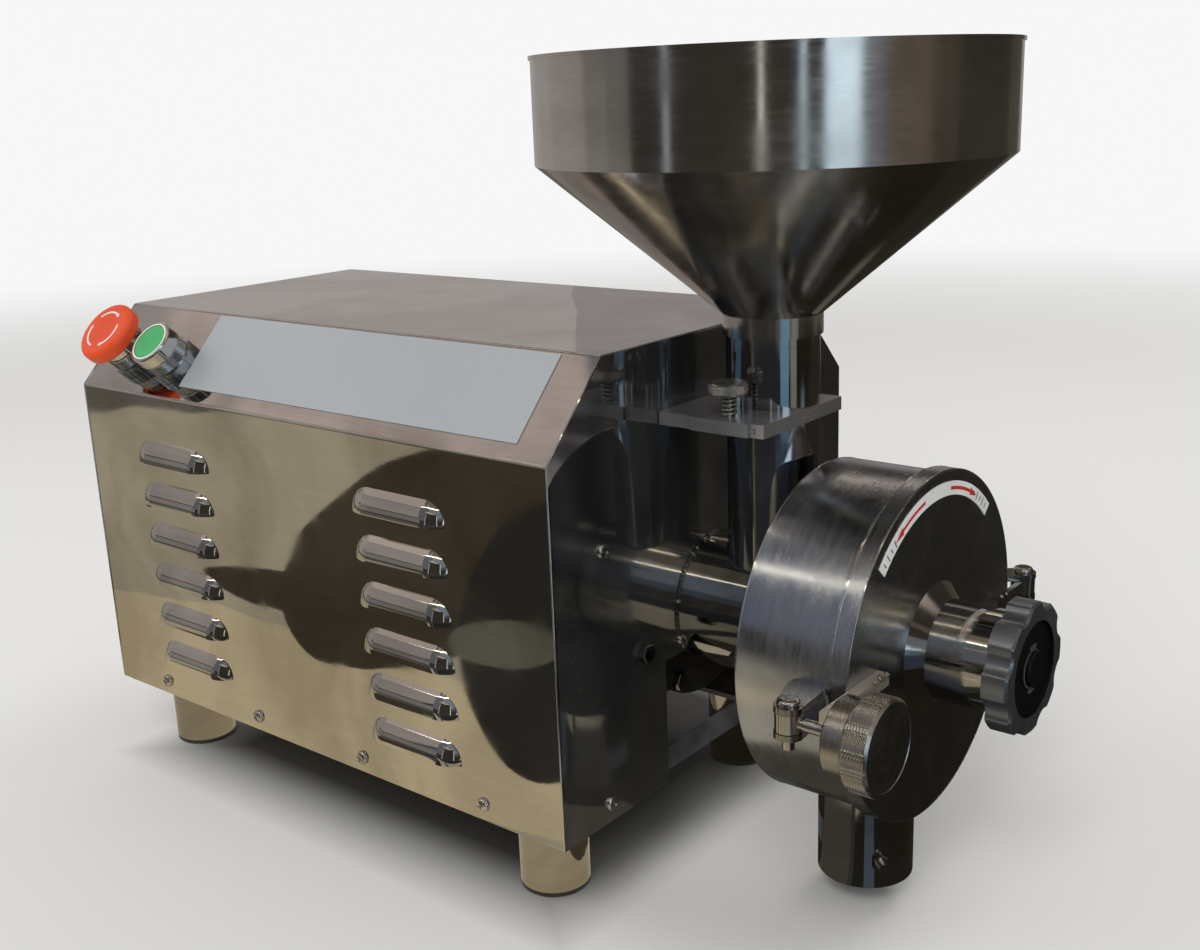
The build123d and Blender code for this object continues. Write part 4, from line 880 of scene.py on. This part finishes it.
def tubeAlong(path, radius, smoothness):
    # turns a mesh of edges into a round bead along them
    pick(path)
    bpy.ops.object.convert(target="CURVE")
    path.data.bevel_depth = radius * mm
    path.data.bevel_resolution = smoothness
    bpy.ops.object.convert(target="MESH")
    return bpy.context.object


def foldBead(points):
    path = added(bpy.ops.mesh.primitive_circle_add, vertices=len(points), radius=0.01, fill_type="NOTHING")
    editAll()
    mesh = bmesh.from_edit_mesh(path.data)
    mesh.verts.ensure_lookup_table()
    for point, place in zip(mesh.verts, points):
        point.co = place
    closing = [edge for edge in mesh.edges if {v.index for v in edge.verts} == {0, len(points) - 1}]
    bmesh.ops.delete(mesh, geom=closing, context="EDGES")
    bmesh.update_edit_mesh(path.data)
    leaveEdit()
    return tubeAlong(path, foldLine["radius"], foldLine["smoothness"])


def makeHoodFolds():
    low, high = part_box("housing_cover")
    inset = foldLine["radius"] * mm * foldLine["inset"]
    middle = (low.y + high.y) / 2
    ends = [[Vector((x, middle + across * mm, up * mm)) for across, up in hoodOutline]
            for x in (low.x + inset, high.x - inset)]
    beads = [foldBead(end) for end in ends]
    for rear, front in list(zip(*ends))[1:-1]:
        beads.append(foldBead([rear, rear.lerp(front, 0.5), front]))
    settle(joined(beads), "hoodFolds", "root", "bezelChrome", 60)


def saddleBead(name, saddle):
    path = added(bpy.ops.mesh.primitive_circle_add, vertices=weld["saddleRound"], radius=saddle["tube"] * mm,
                 fill_type="NOTHING")
    path.name = name
    editAll()
    mesh = bmesh.from_edit_mesh(path.data)
    for point in mesh.verts:
        point.co.z = saddle["side"] * math.sqrt((saddle["body"] * mm) ** 2 - point.co.y ** 2)
    bmesh.update_edit_mesh(path.data)
    leaveEdit()
    bead = tubeAlong(path, weld["bead"], foldLine["smoothness"])
    return stand(bead, (nodeMiddle(saddle["node"]).x, shaftY, shaftZ))


def makeSaddleWelds():
    beads = [saddleBead(name, saddle) for name, saddle in saddles.items()]
    settle(joined(beads), "saddleWelds", "root", "seamSteel", 60)


# Single weld drops, in mm from the plate's face, the shaft line and the floor, with their sizes
coverDrops = [(139.2, -63.0, 159.0, 1.5), (138.8, -68.5, 159.2, 1.7), (138.9, -74.0, 158.8, 1.3),
              (139.0, -65.5, 141.0, 1.4), (138.8, -71.5, 140.8, 1.5), (136.4, 74.0, 153.2, 1.4),
              (136.6, 80.0, 153.0, 1.3)]
# Drops of the neck's seam: degrees up from its near side, and sizes
neckDrops = [(74, 1.2), (62, 1.0), (55, 1.3), (38, 0.9), (12, 1.0), (-24, 2.6), (-31, 1.6)]
dropShape = {"cut": 0.4, "crown": (1.25, 0.9, 0.7), "scale": (1.0, 1.25, 0.7), "turn": (20, 35, 50),
             "plateOut": 0.9, "neck": 37.6}


def weldDrop(place, size, number):
    drop = added(bpy.ops.mesh.primitive_uv_sphere_add, segments=16, ring_count=8, radius=size * mm)
    editAll()
    choose(drop, lambda point: point.co.z > dropShape["cut"] * size * mm)
    bpy.ops.transform.resize(value=dropShape["crown"], center_override=(0, 0, 0))
    leaveEdit()
    drop.scale = dropShape["scale"]
    roll, tilt, turn = dropShape["turn"]
    return stand(drop, place, (roll * number, tilt, turn * number))


def makeWeldDrops():
    reach = dropShape["neck"] * mm
    places = {"coverWeldDrops": [(at(x, y, z), size) for x, y, z, size in coverDrops], "neckWeldDrops": []}
    for angle, size in neckDrops:
        across, up = reach * math.cos(math.radians(angle)), reach * math.sin(math.radians(angle))
        place = Vector((at(dropShape["plateOut"], 0, 0).x, shaftY - across, shaftZ + up))
        places["neckWeldDrops"].append((place, size))
    for name, body in (("coverWeldDrops", "cover"), ("neckWeldDrops", "root")):
        drops = [weldDrop(place, size, number) for number, (place, size) in enumerate(places[name])]
        settle(joined(drops), name, body, "weldSteel", 60)


for make in (makeClampKnob, makeThumbScrew, makeSpring, makeBoltThread, makeHousingScrews, makeButtonRings,
             makeStartRim, makeCapArrows, makeDialMarks, makeStarFace, makeSmallBolts, makeWeldRings, makeEdgeLines,
             makeHoodFolds, makeSaddleWelds, makeWeldDrops):
    make()
    print("made:", make.__name__)

# Floor, sky and the room that the steel reflects (metres)
# shadeTone, shadeEdge and shadeBehind paint a shadow into the floor's colour under the hood
studio = {"floorTone": (0.80, 0.79, 0.77), "floorDark": 0.97, "floorRough": 0.65, "driftScale": 2.0,
          "floorSize": 12.0, "fadeFrom": 1.4, "fadeTo": 3.2, "shadeTone": (0.075, 0.073, 0.070),
          "shadeEdge": (0.68, 1.04), "shadeBehind": 0.06, "skyTone": 0.93, "fillLevel": 0.55, "wallRadius": 3.6,
          "wallLow": -2.5, "wallHigh": 2.4, "wallTone": (0.05, 0.043, 0.036), "ceilingTone": (0.56, 0.475, 0.44),
          "cardGap": 0.1, "cardSteps": 24, "clothStep": 0.0003, "glintLow": 0.0036}


def onlyInReflections(card):
    # studio flags and cards glow as painted light of a room round the steel, and shape its reflections: they are
    # neither in view nor a light on any matte surface
    for way in ("camera", "diffuse", "shadow", "transmission"):
        setattr(card, "visible_" + way, False)


def glowMaterial(name, tone):
    made = bpy.data.materials.new(name)
    made.use_nodes = True
    tree = made.node_tree
    tree.nodes.clear()
    glow = addNode(tree, "Emission", {"Color": (*tone, 1.0)})
    addNode(tree, "OutputMaterial", {"Surface": glow.outputs[0]})
    return made


def paintedHoodShadow(tree, place):
    # painted shadow: 0 on the floor that the hood stands over, whose colour is darkened there to a painted deep
    # shadow, and 1 outside it
    low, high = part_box("housing_cover")
    high.y += studio["shadeBehind"]
    reach = []
    for axis, way in enumerate(list(splitNode(tree, place))[:2]):
        away = mathNode(tree, "SUBTRACT", way, (low[axis] + high[axis]) / 2)
        reach.append(mathNode(tree, "ABSOLUTE", mathNode(tree, "DIVIDE", away, (high[axis] - low[axis]) / 2)))
    return rangeNode(tree, mathNode(tree, "MAXIMUM", *reach), 0.0, 1.0, *studio["shadeEdge"])


def makeFloor():
    floor = added(bpy.ops.mesh.primitive_plane_add, size=studio["floorSize"])
    editAll()
    bpy.ops.mesh.subdivide(number_cuts=3)
    leaveEdit()
    floor.name = "studioFloor"
    made, tree, shader = newMaterial("paleFloor")
    place = addNode(tree, "TexCoord").outputs["Object"]
    pale = tuple(part * studio["floorDark"] for part in studio["floorTone"])
    bare = mixColours(tree, noiseNode(tree, place, studio["driftScale"]), pale, studio["floorTone"])
    # under the hood the floor's colour goes to shadeTone: a painted shadow on top of the one the lamps cast
    feed(tree, shader, {"Roughness": studio["floorRough"],
                        "Base Color": mixColours(tree, paintedHoodShadow(tree, place), studio["shadeTone"], bare)})
    length = addNode(tree, "VectorMath", {0: place}, operation="LENGTH").outputs["Value"]
    ease = rangeNode(tree, length, 0.0, 1.0, studio["fadeFrom"], studio["fadeTo"], interpolation_type="SMOOTHSTEP")
    clear = addNode(tree, "BsdfTransparent").outputs[0]
    fade = addNode(tree, "MixShader", {0: ease, 1: shader.outputs[0], 2: clear})
    feed(tree, tree.nodes["Material Output"], {"Surface": fade.outputs[0]})
    floor.data.materials.append(made)


def makeSky():
    # what is seen of the sky is brighter than the light that it gives
    world = bpy.data.worlds.new("paleStudio")
    bpy.context.scene.world = world
    world.use_nodes = True
    tree = world.node_tree
    seen = tree.nodes["Background"]
    feed(tree, seen, {"Color": (studio["skyTone"],) * 3 + (1.0,)})
    light = addNode(tree, "Background", {"Color": (studio["fillLevel"],) * 3 + (1.0,)})
    path = addNode(tree, "LightPath").outputs
    either = mathNode(tree, "MAXIMUM", path["Is Camera Ray"], path["Is Glossy Ray"])
    either = mathNode(tree, "MAXIMUM", either, path["Is Transmission Ray"])
    mix = addNode(tree, "MixShader", {0: either, 1: light.outputs[0], 2: seen.outputs[0]})
    feed(tree, tree.nodes["World Output"], {"Surface": mix.outputs[0]})


# Tall curved cards round the machine: degrees from +X where they start and end, heights and tone
windowCards = [
    (-33.5, -18, -0.2, 2.2, (1.05, 1.30, 1.50)),
    (-44, -41.5, -0.2, 2.2, (0.90, 1.10, 1.25)),
    (-61.5, -59.5, -0.2, 2.2, (1.05, 1.02, 0.95)),
    (-104.5, -101.5, 0.0, 2.0, (0.46, 0.48, 0.52)),
    (-58, -46, 1.35, 2.38, (0.23, 0.28, 0.34)),
    (-58, -46, 0.80, 1.35, (0.10, 0.125, 0.155)),
    (-17, -8, -0.4, 0.8, (0.19, 0.20, 0.23)),
    (-8, 15, -0.4, 1.6, (0.145, 0.118, 0.095)),
    (15, 30, -0.4, 1.6, (0.075, 0.062, 0.047)),
    (72, 91, -0.4, 1.2, (0.085, 0.076, 0.060)),
    (92, 130, -0.6, 1.00, (0.33, 0.305, 0.30)),
    (130, 178, -0.6, 2.35, (0.43, 0.40, 0.385)),
    (-182, -151, -0.6, 2.35, (0.39, 0.355, 0.345)),
    (-151, -136, -0.6, 0.62, (0.28, 0.265, 0.255)),
    (-136, -122, -0.6, 0.62, (0.22, 0.21, 0.20)),
    (-151, -132, 0.72, 2.30, (0.36, 0.325, 0.315)),
    (-131, -106, 0.62, 2.38, (0.15, 0.16, 0.185)),
]
# Cards that lie flat are measured in metres from the plate's face and the shaft line: centre, half sizes, tone, turn.
# Rows of long lamps and darker fields hang under the ceiling, each by its drop, which stands first.
ceilingCards = [
    (0.015, (-0.20, 1.30), (2.60, 1.40), (0.070, 0.062, 0.055)),
    (0.02, (-1.42, -0.95), (0.36, 0.95), (0.15, 0.16, 0.185)),
    (0.025, (-1.50, -2.50), (1.20, 0.60), (0.16, 0.175, 0.20)),
    (0.03, (0.45, -0.95), (1.55, 1.25), (0.22, 0.195, 0.145)),
    (0.035, (1.20, -2.50), (1.60, 0.65), (0.24, 0.29, 0.34)),
    (0.06, (0.00, -1.90), (2.80, 0.060), (6.5, 6.0, 4.8)),
    (0.06, (0.20, -0.52), (2.00, 0.045), (5.0, 4.3, 3.1)),
    (0.06, (-0.30, 0.60), (2.00, 0.035), (3.2, 2.8, 2.0)),
    (0.06, (-0.60, 2.30), (2.20, 0.050), (4.2, 3.7, 2.7)),
]
# Glowing cards lying on the floor, seen only in reflections: their glow is painted light of the floor round the
# machine. Each lies a little higher than the one before
floorGlowCards = [
    ((-0.10, 0.00), (3.55, 3.55), (0.14, 0.13, 0.11)),
    ((-0.20, -2.20), (1.90, 1.10), (0.050, 0.050, 0.048)),
    ((-0.56, -0.44), (1.00, 0.50), (0.44, 0.39, 0.29), 4),
    ((-0.34, -0.27), (0.42, 0.075), (0.60, 0.50, 0.325)),
    ((-0.57, -0.63), (0.38, 0.155), (0.066, 0.054, 0.037), 53),
    ((-0.51, -0.41), (0.16, 0.045), (0.060, 0.050, 0.036), -6),
    ((-0.33, -0.50), (0.32, 0.070), (0.036, 0.034, 0.030), 49),
    ((-0.30, -0.415), (0.055, 0.040), (0.14, 0.135, 0.105), 20),
    ((0.38, -1.08), (0.80, 0.64), (0.030, 0.031, 0.032)),
    ((0.33, 0.13), (0.47, 0.28), (0.022, 0.019, 0.014)),
    ((1.05, 0.42), (0.98, 0.92), (0.020, 0.017, 0.012), 20),
    ((0.35, 1.10), (0.80, 0.70), (0.030, 0.026, 0.020)),
]
# Light on the floor in slices round the spout: degrees from +X, nearest and farthest distance, tone
floorGlints = [
    (-168, -92, 0.03, 0.13, (0.075, 0.066, 0.050)),
    (-42, -21, 1.0, 3.2, (0.17, 0.32, 0.46)),
    (-56, -20, 0.35, 1.0, (0.045, 0.060, 0.080)),
    (-16, 0, 1.0, 3.2, (0.27, 0.255, 0.22)),
    (-112, -107, 0.4, 3.2, (0.11, 0.09, 0.065)),
    (13, 24, 0.35, 1.2, (0.20, 0.225, 0.25)),
    (-64, -46, 0.03, 0.30, (0.080, 0.095, 0.125)),
    (-92, -84, 0.03, 0.30, (0.040, 0.042, 0.040)),
    (128, 190, 0.058, 0.085, (0.075, 0.080, 0.072)),
]


def flatCard(name, height, centre, size, tone, turn=0):
    cloth = added(bpy.ops.mesh.primitive_circle_add, vertices=64, radius=1, fill_type="NGON",
                  rotation=turned((0, 0, turn)), location=(plateFace + centre[0], shaftY + centre[1], height))
    cloth.scale = (*size, 1)
    bpy.ops.object.transform_apply(location=False, rotation=False, scale=True)
    cloth.name = name
    cloth.data.materials.append(glowMaterial(name + "Glow", tone))
    onlyInReflections(cloth)


def sweptCard(name, corners, start, end, tone):
    # an edge between two points (distance, height), swung round the Z axis
    sheet = added(bpy.ops.mesh.primitive_plane_add, size=1)
    editAll()
    choose(sheet, lambda point: point.co.y > 0)
    bpy.ops.mesh.delete(type="VERT")
    for place, (distance, height) in zip((-0.5, 0.5), corners):
        choose(sheet, lambda point: abs(point.co.x - place) < 0.01 and abs(point.co.y + 0.5) < 0.01)
        bpy.ops.transform.translate(value=(distance - place, 0.5, height))
    bpy.ops.mesh.select_all(action="SELECT")
    bpy.ops.mesh.spin(steps=studio["cardSteps"], angle=-math.radians(end - start), center=(0, 0, 0), axis=(0, 0, 1))
    leaveEdit()
    sheet.name = name
    sheet.rotation_euler.z = math.radians(start)
    sheet.data.materials.append(glowMaterial(name + "Glow", tone))
    onlyInReflections(sheet)
    return sheet


def makeReflectors():
    reach, low, high = studio["wallRadius"], studio["wallLow"], studio["wallHigh"]
    wall = added(bpy.ops.mesh.primitive_cylinder_add, vertices=96, radius=reach, depth=high - low,
                 end_fill_type="NOTHING", location=(0, 0, (high + low) / 2))
    wall.name = "studioWall"
    # the wall glows dimly: painted light of a dark room, seen only in reflections
    wall.data.materials.append(glowMaterial("wallGlow", studio["wallTone"]))
    onlyInReflections(wall)
    flatCard("studioCeiling", high, (-plateFace, 0), (reach, reach), studio["ceilingTone"])
    inside = reach - studio["cardGap"]
    for number, (start, end, foot, top, tone) in enumerate(windowCards):
        sweptCard(f"windowCard{number}", ((inside, foot), (inside, top)), start, end, tone)
    for number, (drop, *card) in enumerate(ceilingCards):
        flatCard(f"ceilingCard{number}", high - drop, *card)
    for number, glowCard in enumerate(floorGlowCards):
        flatCard(f"floorFelt{number}", studio["clothStep"] * (number + 1), *glowCard)
    spout = nodeMiddle("outlet_spout")
    for number, (start, end, near, far, tone) in enumerate(floorGlints):
        glint = sweptCard(f"floorGlint{number}", ((near, 0), (far, 0)), start, end, tone)
        glint.location = (spout.x, spout.y, studio["glintLow"] + studio["clothStep"] * number)


lamps = {
    "keyLamp": {"place": (0.9, -1.9, 2.2), "size": 1.4, "power": 34.0},
    "fillLamp": {"place": (-2.2, -1.2, 1.8), "size": 1.6, "power": 22.0},
    "backLamp": {"place": (0.6, 2.0, 2.2), "size": 1.4, "power": 20.0},
}
lampAim = Vector((0.0, 0.0, 0.15))


def makeLamps():
    for name, lamp in lamps.items():
        made = added(bpy.ops.object.light_add, type="AREA", location=lamp["place"])
        made.name = name
        made.data.shape = "DISK"
        made.data.size = lamp["size"]
        made.data.energy = lamp["power"]
        made.visible_glossy = False
        made.rotation_euler = (lampAim - Vector(lamp["place"])).to_track_quat("-Z", "Y").to_euler()


camera = {"place": (414.83, -601.46, 424.47), "turn": (74.46589, 2.12025, 38.88219), "lens": 41.404,
          "sensor": 36.0, "near": 0.01, "far": 60.0}


def makeCamera():
    made = added(bpy.ops.object.camera_add, location=at(*camera["place"]), rotation=turned(camera["turn"]))
    made.name = "mainCamera"
    made.data.sensor_width = camera["sensor"]
    made.data.lens = camera["lens"]
    made.data.clip_start = camera["near"]
    made.data.clip_end = camera["far"]
    bpy.context.scene.camera = made


bpy.context.scene.view_settings.view_transform = "Standard"
for make in (makeFloor, makeSky, makeReflectors, makeLamps, makeCamera):
    make()
print("studio ready")
